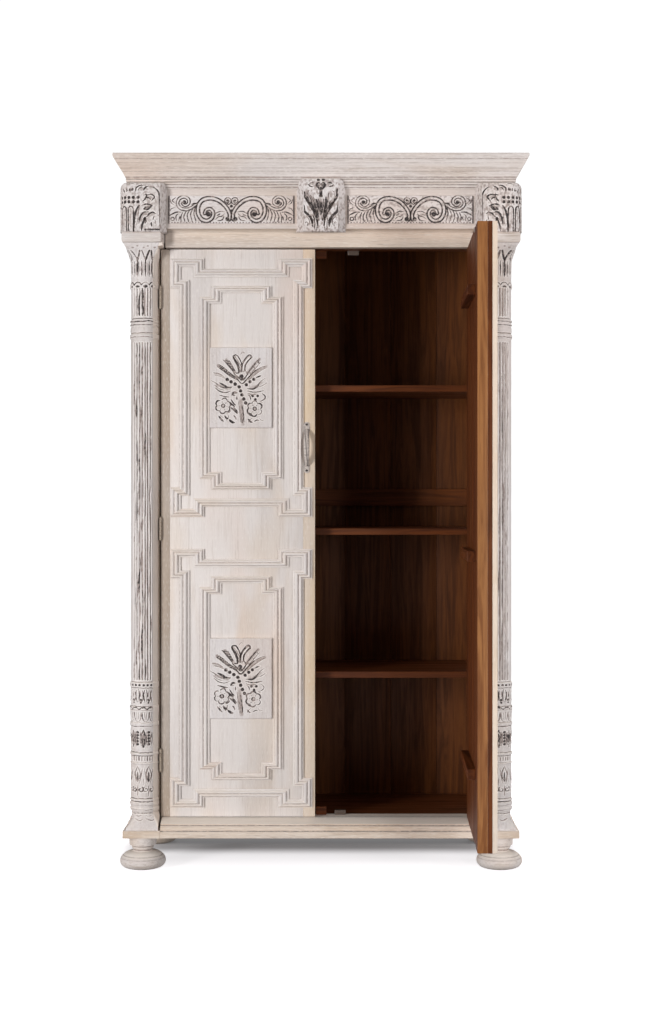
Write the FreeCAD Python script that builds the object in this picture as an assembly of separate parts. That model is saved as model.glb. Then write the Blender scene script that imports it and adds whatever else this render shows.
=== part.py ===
import FreeCAD, Part
import math
import os
from FreeCAD import Vector

# Two-door wooden cabinet with turned corner columns, carved consoles and a moulded cornice.
# Millimetres, X to the right, Y to the back, Z up.
# The origin is on the floor, in the middle of the cabinet's width and depth.
# At rest the left door is closed and the right door stands open.

# Body of the cabinet
body_width = 1148.0
body_depth = 416.0
cornice_reach = 96.0
foot_height = 94.0
base_height = 50.5
door_height = 1719.0
door_gap = 3.0
touch = 0.3
overrun = 5.0

# Posts, rails and boards of the carcass
post_width = 85.8
post_depth = 48.0
post_setback = 12.0
rear_post_width = 48.0
rear_post_depth = 48.0
back_board_thickness = 16.0
back_board_count = 7
back_rail_height = 55.0
back_rail_thickness = 20.0
back_rail_mid_rise = 107.5
side_rail_height = 96.0
side_rail_thickness = 34.0
side_panel_thickness = 12.0
side_panel_setback = 12.0
side_panel_count = 2
floor_thickness = 18.0
floor_drop = 1.0
shelf_names = ("shelf_lower", "shelf_middle", "shelf_upper")
shelf_thickness = 19.5
shelf_headroom = 29.8
shelf_setback = 50.0
shelf_play = 0.5
cleat_width = 20.0
cleat_height = 25.0
stop_width = 32.0
stop_depth = 16.0
stop_height = 25.0
catch_width = 34.0
catch_depth = 16.0
catch_height = 14.0
catch_top_x = 98.0
catch_bottom_x = 58.0
strike_width = 30.0
strike_height = 12.0
strike_thickness = 1.4

# Feet, turned, with a bun, a neck and a collar
foot_bun_radius = 69.0
foot_contact_radius = 45.0
foot_bun_height = 62.0
foot_widest_share = 0.45
foot_neck_radius = 27.0
foot_neck_height = 10.0
foot_collar_radius = 42.0
foot_advance = 15.0
rear_foot_margin = 3.0

# Base moulding, in three steps from the top one down
base_step_heights = (13.5, 15.0, 22.0)
base_step_reaches = (46.0, 53.0, 62.0)
base_side_reaches = (6.0, 12.0, 20.0)

# Corner columns, turned, with a flat back against the posts
column_radius = 40.0
base_flare_radius = 55.0
base_flare_height = 44.0
top_flare_radius = 57.0
top_flare_height = 32.0
flute_count = 20
flute_radius = 4.6
flute_depth = 2.6
block_inset = 6.2
column_end_trim = 0.8

# Outline of the shaft: share of its height from the base flare up, and share of its radius
shaft_fluted_share = 0.94
shaft_outline_shares = (
    (0.000, 0.96), (0.010, 1.00), (0.014, 0.95), (0.020, 1.00), (0.027, 0.95), (0.099, 0.95),
    (0.102, 1.00), (0.107, 1.00), (0.110, 0.95), (0.154, 0.95), (0.158, 0.92), (0.161, 0.95),
    (0.190, 0.98), (0.223, 0.96), (0.226, 1.00), (0.233, 1.00),
    (0.236, shaft_fluted_share), (0.845, shaft_fluted_share),
    (0.849, 1.00), (0.853, 0.94), (0.858, 1.00), (0.868, 0.95), (0.874, 1.00), (0.880, 1.00),
    (0.884, 0.94), (0.940, 0.94), (0.944, 0.99), (0.950, 0.99), (0.954, 0.94), (1.000, 1.00),
)
long_flute_shares = (0.240, 0.840)
short_flute_shares = (0.888, 0.936)

# Capital block, architrave, frieze, consoles and cornice
capital_height = 31.5
capital_reach = 62.0
capital_front_inset = 8.2
capital_back_inset = 18.2
capital_side_reach = 16.0
architrave_height = 40.0
architrave_reach = 22.0
frieze_cove_height = 11.5
frieze_height = 119.0
frieze_reach = 50.0
frieze_thickness = 25.0
frieze_panel_start_gap = 5.0
frieze_panel_end_gap = 4.0
frieze_panel_height = 83.0
frieze_panel_rise = 15.0
frieze_panel_thickness = 8.0
bed_height = 31.0
bed_reach = 10.0
bed_foot = 4.0
reed_count = 3
cornice_height = 68.5
cornice_seat = 34.0
console_reach = 36.0
console_foot_reach = 21.0
console_top_reach = 22.0
console_height = 146.0
centre_console_height = 158.0
console_widest_share = 0.66
console_crown = 26.0
centre_console_front_half = 52.0
centre_console_back_half = 75.0
corner_console_front_inset = 9.6
corner_console_back_inset = 27.2
corner_console_round = 38.0

# Cornice profile: share of its reach beyond the bed moulding, and share of its height
cornice_shares = (
    (0.00, 0.00), (0.00, 0.06), (0.10, 0.10), (0.20, 0.24), (0.34, 0.38), (0.50, 0.51),
    (0.68, 0.62), (0.76, 0.65), (0.76, 0.70), (0.84, 0.72), (0.95, 0.78), (1.00, 0.86),
    (1.00, 0.95), (0.94, 1.00),
)

# Doors
core_thickness = 28.5
face_thickness = 12.5
door_plank_count = 3
meeting_x = -16.25
meeting_gap = 4.5
right_door_angle = 88.5
batten_proud = 22.0
batten_height = 29.0
batten_start = 82.0
batten_length = 336.0
batten_low_margin = 200.5
batten_mid_drop = 55.0
batten_high_margin = 175.5
closing_strip_width = 34.0
closing_strip_proud = 14.0

# Eared outer mouldings and stepped inner mouldings of the door panels
panel_gap = 97.0
panel_end_margin = 28.0
panel_side_margin = 26.9
moulding_proud = 14.0
ear_width = 103.7
ear_height = 90.0
ear_rise = 31.0
ear_reach = 26.7
outer_strip_width = 33.0
outer_strip_height = 25.0
inner_end_gap = 26.5
inner_side_gap = 29.0
inner_notch_width = 35.6
inner_notch_height = 33.0
inner_strip_width = 32.0
inner_strip_height = 21.0
plaque_height = 243.0
plaque_thickness = 12.0
plaque_play = 0.8
plaque_bevel = 2.0

# Profile of those mouldings: share of the strip's width, and share of its height
strip_shares = (
    (0.00, 0.00), (0.00, 0.38), (0.12, 0.38), (0.16, 0.74), (0.26, 0.90), (0.36, 0.74),
    (0.40, 0.56), (0.46, 0.56), (0.50, 0.88), (0.62, 1.00), (0.74, 0.88), (0.78, 0.50),
    (0.88, 0.42), (1.00, 0.30), (1.00, 0.00),
)

# Hinges, three to each door
hinge_low_margin = 171.5
hinge_high_margin = 145.5
hinge_count = 3
hinge_height = 66.0
hinge_leaf_depth = 30.0
hinge_leaf_thickness = 1.2
hinge_stand = 0.5
knuckle_radius = 4.0
knuckle_count = 5
knuckle_gap = 0.4
pin_radius = 2.0
pin_play = 0.04
finial_height = 5.0
finial_radius = 3.2

# Bow handle of the left door
handle_inset = 25.1
handle_rise = 120.5
handle_length = 156.0
handle_centres = 139.0
handle_end_width = 19.0
handle_end_length = 36.0
handle_end_thickness = 3.0
handle_stand = 27.0
handle_grip_radius = 5.5
handle_span = 118.0
screw_head_radius = 3.2
screw_head_height = 1.4

# Places worked out from the sizes above
body_half = body_width / 2
depth_total = body_depth + cornice_reach
back_y = depth_total / 2
door_face_y = back_y - body_depth
opening_half = body_half - post_width
door_outer_x = opening_half - door_gap
door_thickness = core_thickness + face_thickness
base_top_z = foot_height + base_height
door_low_z = base_top_z + door_gap
door_high_z = door_low_z + door_height
architrave_z = door_high_z + door_gap
frieze_cove_z = architrave_z + architrave_height
frieze_z = frieze_cove_z + frieze_cove_height
bed_z = frieze_z + frieze_height
cornice_z = bed_z + bed_height
top_z = cornice_z + cornice_height
floor_top_z = base_top_z - floor_drop
pin_x = opening_half - door_gap / 2
left_edge_x = meeting_x - meeting_gap / 2
right_edge_x = meeting_x + meeting_gap / 2
door_middle_z = door_low_z + door_height / 2
inside_back = body_depth - back_board_thickness
shelf_pitch = (door_high_z + shelf_headroom - floor_top_z) / (len(shelf_names) + 1)
plinth_height = base_step_heights[2]
column_low_z = foot_height + plinth_height
column_high_z = frieze_cove_z - capital_height
column_centre_x = opening_half + post_width / 2
block_inner_x = opening_half - block_inset
block_outer_x = body_half + base_side_reaches[2]
capital_inner_front_x = opening_half - capital_front_inset
capital_inner_back_x = opening_half - capital_back_inset
capital_outer_x = body_half + capital_side_reach
corner_console_front_x = opening_half - corner_console_front_inset
corner_console_back_x = opening_half - corner_console_back_inset
frieze_panel_start_x = centre_console_back_half + frieze_panel_start_gap
frieze_panel_end_x = corner_console_back_x - frieze_panel_end_gap
outer_half_width = door_outer_x / 2 - panel_side_margin
outer_half_height = (door_height - panel_gap) / 4 - panel_end_margin / 2
panel_pitch = 2 * outer_half_height + panel_gap
inner_half_width = outer_half_width - ear_reach - outer_strip_width - inner_side_gap
inner_half_height = outer_half_height - ear_rise - outer_strip_height - inner_end_gap
hinge_pin_ahead = knuckle_radius + hinge_stand
handle_x = left_edge_x - handle_inset
handle_mid_z = door_middle_z + panel_pitch / 2 - outer_half_height + ear_height + handle_rise


def ahead(distance):
    """Y of a plane that lies this far in front of the doors' face, or behind it if negative."""
    return door_face_y - distance


def box(x0, x1, front, rear, z0, z1):
    """Block between two X planes, two distances ahead of the doors' face and two heights."""
    y0, y1 = ahead(front), ahead(rear)
    return Part.makeBox(x1 - x0, y1 - y0, z1 - z0, Vector(x0, y0, z0))


def mirrored(shape):
    return shape.mirror(Vector(0, 0, 0), Vector(1, 0, 0))


def polygon_face(points):
    return Part.Face(Part.makePolygon(points + [points[0]]))


def side_prism(outline, x0, x1):
    """Outline of (distance ahead, height) points, run along X."""
    face = polygon_face([Vector(x0, ahead(a), z) for a, z in outline])
    return face.extrude(Vector(x1 - x0, 0, 0))


def plan_prism(outline, z0, z1):
    """Outline of (X, distance ahead) points, run upwards."""
    face = polygon_face([Vector(x, ahead(a), z0) for x, a in outline])
    return face.extrude(Vector(0, 0, z1 - z0))


def front_prism(outline, front, rear):
    """Outline of (X, height) points, run from front to rear."""
    face = polygon_face([Vector(x, ahead(front), z) for x, z in outline])
    return face.extrude(Vector(0, ahead(rear) - ahead(front), 0))


def arc_points(centre, radii, start, end, steps):
    """Points along an arc of an ellipse, angles in degrees."""
    points = []
    for k in range(steps + 1):
        angle = math.radians(start + (end - start) * k / steps)
        points.append((centre[0] + radii[0] * math.cos(angle), centre[1] + radii[1] * math.sin(angle)))
    return points


def joined(shapes):
    whole = shapes[0]
    for shape in shapes[1:]:
        whole = whole.fuse(shape)
    return whole.removeSplitter()


def turned(outline, x, front):
    """Outline of (radius, height) points, turned about a vertical axis."""
    points = [Vector(r, 0, z) for r, z in outline]
    body = polygon_face(points).revolve(Vector(0, 0, 0), Vector(0, 0, 1), 360)
    body.translate(Vector(x, ahead(front), 0))
    return body


def save(name, shapes):
    whole = shapes[0] if len(shapes) == 1 else Part.makeCompound(shapes)
    whole.exportStep("parts/" + name + ".step")


def edge_normal(a, b):
    """Outward unit normal of an axis-aligned edge of a path that runs clockwise."""
    dx, dy = b[0] - a[0], b[1] - a[1]
    length = math.hypot(dx, dy)
    return (-dy / length, dx / length)


def strip_point(path, index, closed, shift_x, shift_y):
    """Corner of the path moved outwards, with one shift for upright edges and one for level edges."""
    count = len(path)
    normals = []
    if closed or index > 0:
        normals.append(edge_normal(path[index - 1], path[index]))
    if closed or index < count - 1:
        normals.append(edge_normal(path[index], path[(index + 1) % count]))
    if len(normals) == 2 and abs(normals[0][0] - normals[1][0]) + abs(normals[0][1] - normals[1][1]) == 0:
        normals = normals[:1]
    x = path[index][0] + shift_x * sum(n[0] for n in normals)
    y = path[index][1] + shift_y * sum(n[1] for n in normals)
    return (x, y)


def mitred_strip(path, closed, profile, place, segments):
    """Moulding with mitred corners. The profile is a closed list of (shift X, shift Y, height)."""
    lines = []
    for shift_x, shift_y, height in profile:
        line = [strip_point(path, k, closed, shift_x, shift_y) for k in range(len(path))]
        lines.append([place(u, v, height) for u, v in line])
    faces = []
    for first, second in zip(lines, lines[1:] + lines[:1]):
        for k in segments:
            m = (k + 1) % len(path)
            corners = [first[k], first[m], second[m], second[k]]
            faces.append(polygon_face(corners))
    if not closed:
        for k in (segments[0], segments[-1] + 1):
            faces.append(polygon_face([line[k] for line in lines]))
    solid = Part.Solid(Part.Shell(faces))
    if solid.Volume < 0:
        solid.reverse()
    return solid


def in_plan(x, y, z):
    return Vector(x, y, z)


# Carcass: feet, base, posts, boards and shelves

def foot_outline():
    """Outline of (radius, height) points from the floor up."""
    widest_z = foot_bun_height * foot_widest_share
    low_radii = (foot_bun_radius - foot_contact_radius, widest_z)
    high_radii = (foot_bun_radius - foot_neck_radius, foot_bun_height - widest_z)
    low = arc_points((foot_contact_radius, widest_z), low_radii, -90, 0, 8)
    high = arc_points((foot_neck_radius, widest_z), high_radii, 0, 90, 10)
    neck_top = foot_bun_height + foot_neck_height
    outline = [(0, 0)] + low + high[1:]
    outline += [(foot_neck_radius, neck_top), (foot_collar_radius, neck_top)]
    outline += [(foot_collar_radius, foot_height), (0, foot_height)]
    return outline


def make_feet():
    outline = foot_outline()
    front_x = (block_inner_x + block_outer_x) / 2
    front_foot = turned(outline, front_x, foot_advance)
    rear_foot = turned(outline, front_x, foot_bun_radius + rear_foot_margin - body_depth)
    save("foot_front_right", [front_foot])
    save("foot_front_left", [mirrored(front_foot)])
    save("feet_rear", [rear_foot, mirrored(rear_foot)])


def stepped_outline(reaches, back):
    """Steps of the base moulding as (distance, height) points, from its back at the foot."""
    outline = [(back, foot_height)]
    z = foot_height
    for height, reach in zip(reversed(base_step_heights), reversed(reaches)):
        outline.append((reach, z))
        z += height
        outline.append((reach, z))
    outline.append((back, z))
    return outline


def make_base():
    rear = -post_setback - post_depth
    core = box(-opening_half, opening_half, -post_setback, rear, foot_height, base_top_z)
    steps = side_prism(stepped_outline(base_step_reaches, -post_setback), -block_inner_x, block_inner_x)
    save("base_front_rail", [joined([core, steps])])
    profile = stepped_outline(base_side_reaches, 0)
    points = [Vector(body_half + reach, ahead(-post_setback), z) for reach, z in profile]
    side = polygon_face(points).extrude(Vector(0, body_depth - post_setback, 0))
    save("base_side_mouldings", [side, mirrored(side)])
    reach = base_step_reaches[2]
    block = box(block_inner_x, block_outer_x, reach, -post_setback, foot_height, column_low_z)
    save("plinth_block_right", [block])
    save("plinth_block_left", [mirrored(block)])


def make_posts():
    rear = post_setback + post_depth
    post = box(opening_half, body_half, -post_setback, -rear, foot_height, bed_z)
    save("front_post_right", [post])
    save("front_post_left", [mirrored(post)])
    rear_x = body_half - rear_post_width
    rear_post = box(rear_x, body_half, rear_post_depth - body_depth, -body_depth, foot_height, bed_z)
    save("rear_posts", [rear_post, mirrored(rear_post)])
    head = box(-opening_half, opening_half, -post_setback, -rear, architrave_z, bed_z)
    save("head_rail", [head])


def side_bay():
    """Distances ahead of the doors' face between which a side's rails and panels run."""
    return -(post_setback + post_depth), rear_post_depth - body_depth


def make_sides():
    front, rear = side_bay()
    inner_x = body_half - side_rail_thickness
    panel_x = body_half - side_panel_setback - side_panel_thickness
    clear = bed_z - foot_height - (side_panel_count + 1) * side_rail_height
    panel_height = clear / side_panel_count
    rails = []
    panels = []
    z = foot_height
    for k in range(side_panel_count + 1):
        rails.append(box(inner_x, body_half, front, rear, z, z + side_rail_height))
        z += side_rail_height
        if k < side_panel_count:
            panels.append(box(panel_x, panel_x + side_panel_thickness, front, rear, z, z + panel_height))
            z += panel_height
    save("side_rails", rails + [mirrored(rail) for rail in rails])
    save("side_panels", panels + [mirrored(panel) for panel in panels])


def make_back():
    half = body_half - rear_post_width
    width = 2 * half / back_board_count
    boards = []
    for k in range(back_board_count):
        x = -half + k * width
        boards.append(box(x, x + width, -inside_back, -body_depth, foot_height, bed_z))
    save("back_boards", boards)
    rails = []
    low_rail_top = floor_top_z - floor_thickness
    mid_z = door_middle_z + back_rail_mid_rise - back_rail_height / 2
    for z0, z1 in (
        (foot_height, low_rail_top), (mid_z, mid_z + back_rail_height), (bed_z - back_rail_height, bed_z)
    ):
        rails.append(box(-half, half, back_rail_thickness - inside_back, -inside_back, z0, z1))
    save("back_rails", rails)


def shelf_board(front, z0, z1):
    """Board between the sides, notched round the front posts and the rear posts."""
    bay_front, bay_rear = side_bay()
    side_x = body_half - side_rail_thickness - shelf_play
    pieces = [box(-side_x, side_x, bay_front - shelf_play, bay_rear + shelf_play, z0, z1)]
    rear_x = body_half - rear_post_width - shelf_play
    pieces.append(box(-rear_x, rear_x, bay_rear + shelf_play, -inside_back, z0, z1))
    if front > bay_front:
        front_x = opening_half - shelf_play
        pieces.append(box(-front_x, front_x, front, bay_front - shelf_play, z0, z1))
    return joined(pieces)


def shelf_top(k):
    return floor_top_z + (k + 1) * shelf_pitch


def make_shelves():
    bay_front, bay_rear = side_bay()
    floor_low = floor_top_z - floor_thickness
    save("floor_board", [shelf_board(bay_front, floor_low, floor_top_z)])
    inner_x = body_half - side_rail_thickness
    panel_x = body_half - side_panel_setback - side_panel_thickness
    supports = [box(inner_x - cleat_width, inner_x, bay_front, bay_rear, foot_height, floor_low)]
    for k, name in enumerate(shelf_names):
        low = shelf_top(k) - shelf_thickness
        save(name, [shelf_board(-shelf_setback, low, shelf_top(k))])
        supports.append(box(panel_x - cleat_width, panel_x, bay_front, bay_rear, low - cleat_height, low))
    save("shelf_cleats", supports + [mirrored(piece) for piece in supports])


def make_stops_and_catches():
    front = -door_thickness - touch
    rear = front - stop_depth
    stops = []
    for z in (base_top_z, architrave_z - stop_height):
        stops.append(box(-stop_width / 2, stop_width / 2, front, rear, z, z + stop_height))
    save("centre_stops", stops)
    catches = []
    face = -door_thickness - strike_thickness - touch
    for x, z in ((catch_top_x, architrave_z - catch_height), (catch_bottom_x, base_top_z)):
        for side in (-1, 1):
            low_x = side * x - catch_width / 2
            catches.append(box(low_x, low_x + catch_width, face, face - catch_depth, z, z + catch_height))
    save("magnetic_catches", catches)


# Columns, capitals, consoles, frieze and cornice

def make_columns():
    shaft_low = column_low_z + base_flare_height
    shaft_high = column_high_z - top_flare_height
    shaft = shaft_high - shaft_low
    low_z = column_low_z
    high_z = column_high_z
    outline = [(0, low_z), (base_flare_radius, low_z)]
    for z_share, r_share in shaft_outline_shares:
        outline.append((column_radius * r_share, shaft_low + shaft * z_share))
    outline += [(top_flare_radius, high_z), (0, high_z)]
    column = turned(outline, column_centre_x, 0)
    cutters = []
    reach = column_radius * shaft_fluted_share + flute_radius - flute_depth
    for low_share, high_share in (long_flute_shares, short_flute_shares):
        z0 = shaft_low + shaft * low_share
        z1 = shaft_low + shaft * high_share
        for k in range(flute_count):
            angle = 2 * math.pi * (k + 0.5) / flute_count
            x = column_centre_x + reach * math.cos(angle)
            y = ahead(0) + reach * math.sin(angle)
            if y < ahead(-post_setback) - flute_radius:
                cutters.append(Part.makeCylinder(flute_radius, z1 - z0, Vector(x, y, z0)))
    column = column.cut(Part.makeCompound(cutters))
    reach = top_flare_radius + overrun
    behind = box(column_centre_x - reach, column_centre_x + reach, -post_setback, -reach, low_z, high_z)
    inside = box(column_centre_x - reach, opening_half + column_end_trim, reach, -reach, low_z, high_z)
    column = column.cut(behind).cut(inside)
    save("column_right", [column])
    save("column_left", [mirrored(column)])


def make_capitals():
    outline = [
        (capital_inner_back_x, -post_setback), (capital_inner_back_x, architrave_reach),
        (capital_inner_front_x, capital_reach), (capital_outer_x, capital_reach),
        (capital_outer_x, -post_setback),
    ]
    block = plan_prism(outline, column_high_z, frieze_cove_z)
    save("capital_block_right", [block])
    save("capital_block_left", [mirrored(block)])


def make_architrave():
    back = -post_setback
    cove = arc_points(
        (frieze_reach, frieze_cove_z), (frieze_reach - architrave_reach, frieze_cove_height), 180, 90, 5)
    outline = [(back, architrave_z), (architrave_reach, architrave_z)] + cove + [(back, frieze_z)]
    save("architrave", [side_prism(outline, -capital_inner_back_x, capital_inner_back_x)])


def make_frieze():
    board = box(-body_half, body_half, frieze_reach, frieze_reach - frieze_thickness, frieze_z, bed_z)
    inner = body_half - frieze_thickness / 2
    front = frieze_reach - frieze_thickness
    side = box(inner, body_half, front, -post_setback, frieze_cove_z, bed_z)
    save("frieze_boards", [board, side, mirrored(side)])
    low = frieze_z + frieze_panel_rise
    panel = box(
        frieze_panel_start_x, frieze_panel_end_x, frieze_reach + frieze_panel_thickness, frieze_reach,
        low, low + frieze_panel_height)
    save("frieze_panel_right", [panel])
    save("frieze_panel_left", [mirrored(panel)])


def console_profile(height, back):
    """Side view of a console: it swells towards the front and its top rolls back."""
    low = frieze_cove_z
    top = low + height
    widest = low + height * console_widest_share
    foot = frieze_reach + console_foot_reach
    nose = frieze_reach + console_reach
    swell = arc_points((foot, widest), (nose - foot, widest - low), -90, 0, 8)
    crown = arc_points((frieze_reach + console_top_reach, widest),
                       (console_reach - console_top_reach, top - widest), 0, 90, 8)
    return [(back, low)] + swell + crown[1:] + [(back, top)]


def crown_outline(left, right, height):
    """Front view of a console: upright sides with rounded top corners."""
    low = frieze_cove_z
    top = low + height
    radii = (console_crown, console_crown)
    right_corner = arc_points((right - console_crown, top - console_crown), radii, 0, 90, 6)
    left_corner = arc_points((left + console_crown, top - console_crown), radii, 90, 180, 6)
    return [(left, low), (right, low)] + right_corner + left_corner


def make_consoles():
    far = frieze_reach + console_reach + overrun
    outline = [
        (-centre_console_back_half, frieze_reach), (-centre_console_front_half, far),
        (centre_console_front_half, far), (centre_console_back_half, frieze_reach),
    ]
    half = centre_console_back_half
    height = centre_console_height
    body = side_prism(console_profile(height, frieze_reach), -half, half)
    body = body.common(plan_prism(outline, frieze_cove_z, frieze_cove_z + height))
    body = body.common(front_prism(crown_outline(-half, half, height), far, frieze_reach))
    centre = body.cut(bed_moulding())
    save("console_centre", [centre])

    nose = frieze_reach + console_reach
    rounded = arc_points(
        (block_outer_x - corner_console_round, nose - corner_console_round),
        (corner_console_round, corner_console_round), 90, 0, 8)
    wrap = -post_setback
    outline = [(corner_console_back_x, frieze_reach), (corner_console_front_x, nose)] + rounded
    outline += [(block_outer_x, wrap), (body_half, wrap), (body_half, frieze_reach)]
    height = console_height
    body = side_prism(console_profile(height, wrap), corner_console_back_x, block_outer_x)
    body = body.common(plan_prism(outline, frieze_cove_z, frieze_cove_z + height))
    crown = crown_outline(corner_console_back_x, block_outer_x, height)
    body = body.common(front_prism(crown, nose, wrap))
    corner = body.cut(bed_moulding())
    save("console_corner_right", [corner])
    save("console_corner_left", [mirrored(corner)])


def entablature_path(reach):
    """Plan line along both sides and the front, clockwise seen from above, at a distance out."""
    half = body_half + reach
    front = ahead(frieze_reach + reach)
    return [(half, back_y), (half, front), (-half, front), (-half, back_y)]


def bed_profile():
    """Reeds of the bed moulding as (reach, height) points."""
    reed = (bed_height - 2 * bed_foot) / reed_count
    points = [(0, 0), (bed_foot, 0), (bed_foot, bed_foot)]
    for k in range(reed_count):
        base = bed_foot + (bed_reach - bed_foot) * k / reed_count
        centre = (base, bed_foot + reed * (k + 1) - reed / 2)
        points += arc_points(centre, ((bed_reach - bed_foot) / reed_count, reed / 2), -90, 90, 4)[1:]
    points += [(bed_reach, bed_height - bed_foot), (bed_reach, bed_height), (0, bed_height)]
    return points


def bed_moulding():
    profile = [(reach, reach, bed_z + z) for reach, z in bed_profile()]
    return mitred_strip(entablature_path(0), False, profile, in_plan, range(3))


def make_cornice():
    save("bed_moulding", [bed_moulding()])
    save("top_board", [box(-body_half, body_half, frieze_reach, -body_depth, bed_z, cornice_z)])
    reach = cornice_reach - frieze_reach - bed_reach
    profile = [(reach * out, cornice_height * up) for out, up in cornice_shares]
    profile += [(-cornice_seat, cornice_height), (-cornice_seat, 0)]
    shifted = [(out, out, cornice_z + up) for out, up in profile]
    path = entablature_path(bed_reach)
    names = ("cornice_right", "cornice_front", "cornice_left")
    for k, name in enumerate(names):
        save(name, [mitred_strip(path, False, shifted, in_plan, [k])])


# Doors, each modelled closed

def eared_path(centre_x, centre_z):
    """Outer edge of the outer moulding, clockwise from the top bar's right end."""
    top = outer_half_height
    bar = top - ear_rise
    low = top - ear_height
    far = outer_half_width
    side = far - ear_reach
    near = far - ear_width
    quarter = [(near, bar), (near, top), (far, top), (far, low), (side, low)]
    return mirror_quarters(quarter, centre_x, centre_z)


def stepped_path(centre_x, centre_z):
    """Outer edge of the inner moulding, clockwise from its top right corner."""
    near = inner_half_width - inner_notch_width
    low = inner_half_height - inner_notch_height
    quarter = [(near, inner_half_height), (near, low), (inner_half_width, low)]
    return mirror_quarters(quarter, centre_x, centre_z)


def mirror_quarters(quarter, centre_x, centre_z):
    lower = [(u, -v) for u, v in reversed(quarter)]
    right = quarter + lower
    left = [(-u, v) for u, v in reversed(right)]
    return [(centre_x + u, centre_z + v) for u, v in right + left]


def on_door(x, z, proud):
    return Vector(x, ahead(proud), z)


def panel_moulding(path, width, height):
    profile = [(-width * across, -height * across, moulding_proud * up) for across, up in strip_shares]
    return mitred_strip(path, True, profile, on_door, range(len(path)))


def panel_heights():
    return (door_middle_z - panel_pitch / 2, door_middle_z + panel_pitch / 2)


def make_planks(x0, x1):
    width = (x1 - x0) / door_plank_count
    planks = []
    for k in range(door_plank_count):
        x = x0 + k * width
        planks.append(box(x, x + width, -face_thickness, -door_thickness, door_low_z, door_high_z))
    return planks


def make_plaque(centre_x, centre_z):
    half_x = inner_half_width - inner_strip_width - plaque_play
    low_z = centre_z - plaque_height / 2
    plate = box(centre_x - half_x, centre_x + half_x, plaque_thickness, 0, low_z, low_z + plaque_height)
    front = [edge for edge in plate.Edges if edge.BoundBox.YMax < ahead(plaque_thickness) + touch]
    return plate.makeChamfer(plaque_bevel, front)


def make_door(side, free_x):
    """Pieces of one door in its closed place. side is -1 for the left door and 1 for the right."""
    outer_x = side * door_outer_x
    x0, x1 = min(outer_x, free_x), max(outer_x, free_x)
    centre_x = outer_x / 2
    pieces = {}
    pieces["door_core"] = make_planks(x0, x1)
    pieces["door_face"] = [box(x0, x1, 0, -face_thickness, door_low_z, door_high_z)]
    outer = [eared_path(centre_x, z) for z in panel_heights()]
    inner = [stepped_path(centre_x, z) for z in panel_heights()]
    pieces["outer_mouldings"] = [panel_moulding(p, outer_strip_width, outer_strip_height) for p in outer]
    pieces["inner_mouldings"] = [panel_moulding(p, inner_strip_width, inner_strip_height) for p in inner]
    pieces["plaques"] = [make_plaque(centre_x, z) for z in panel_heights()]
    rear = -door_thickness
    middle_x = outer_x - side * (batten_start + batten_length / 2)
    low_x = middle_x - batten_length / 2
    battens = []
    for middle_z in (
        door_low_z + batten_low_margin, door_middle_z - batten_mid_drop, door_high_z - batten_high_margin
    ):
        z = middle_z - batten_height / 2
        battens.append(box(low_x, low_x + batten_length, rear, rear - batten_proud, z, z + batten_height))
    pieces["door_battens"] = battens
    strikes = []
    plate_rear = rear - strike_thickness
    top_z = door_high_z - strike_height
    for x, z in ((side * catch_top_x, top_z), (side * catch_bottom_x, door_low_z)):
        low_x = x - strike_width / 2
        strikes.append(box(low_x, low_x + strike_width, rear, plate_rear, z, z + strike_height))
    pieces["strike_plates"] = strikes
    pieces["hinge_leaves"] = hinge_leaves(side, door_outer_x, door_outer_x + hinge_leaf_thickness, (1, 3))
    return pieces


# Hinges

def hinge_heights():
    low = door_low_z + hinge_low_margin
    high = door_high_z - hinge_high_margin
    return [low + (high - low) * k / (hinge_count - 1) for k in range(hinge_count)]


def knuckle(k, z):
    """One of the barrel's knuckles, numbered from the bottom, as its low and high ends."""
    length = hinge_height / knuckle_count
    low = z - hinge_height / 2 + k * length
    return low + knuckle_gap / 2, low + length - knuckle_gap / 2


def hinge_leaves(side, x0, x1, knuckles):
    """Leaf plates at the three hinge heights, each with its own knuckles round the pin's bore."""
    leaves = []
    for z in hinge_heights():
        low, high = z - hinge_height / 2, z + hinge_height / 2
        plate = box(x0, x1, hinge_pin_ahead, -hinge_leaf_depth, low, high)
        for k in range(knuckle_count):
            k_low, k_high = knuckle(k, z)
            if k in knuckles:
                place = Vector(pin_x, ahead(hinge_pin_ahead), k_low)
                plate = plate.fuse(Part.makeCylinder(knuckle_radius, k_high - k_low, place))
            else:
                edge = hinge_pin_ahead - knuckle_radius - knuckle_gap
                notch = box(x0 - touch, x1 + touch, hinge_pin_ahead + touch, edge,
                            k_low - knuckle_gap, k_high + knuckle_gap)
                plate = plate.cut(notch)
        place = Vector(pin_x, ahead(hinge_pin_ahead), low - overrun)
        plate = plate.cut(Part.makeCylinder(pin_radius + pin_play, hinge_height + 2 * overrun, place))
        leaves.append(plate if side > 0 else mirrored(plate))
    return leaves


def make_hinges():
    leaves = []
    pins = []
    for side in (-1, 1):
        leaves += hinge_leaves(side, opening_half - hinge_leaf_thickness, opening_half, (0, 2, 4))
        for z in hinge_heights():
            low = z - hinge_height / 2 + knuckle_gap / 2
            high = z + hinge_height / 2 - knuckle_gap / 2
            outline = [
                (0, low - finial_height), (finial_radius, low), (pin_radius, low),
                (pin_radius, high), (finial_radius, high), (0, high + finial_height),
            ]
            pins.append(turned(outline, side * pin_x, hinge_pin_ahead))
    save("hinge_frame_leaves", leaves)
    save("hinge_pins", pins)


# Handle

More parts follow.
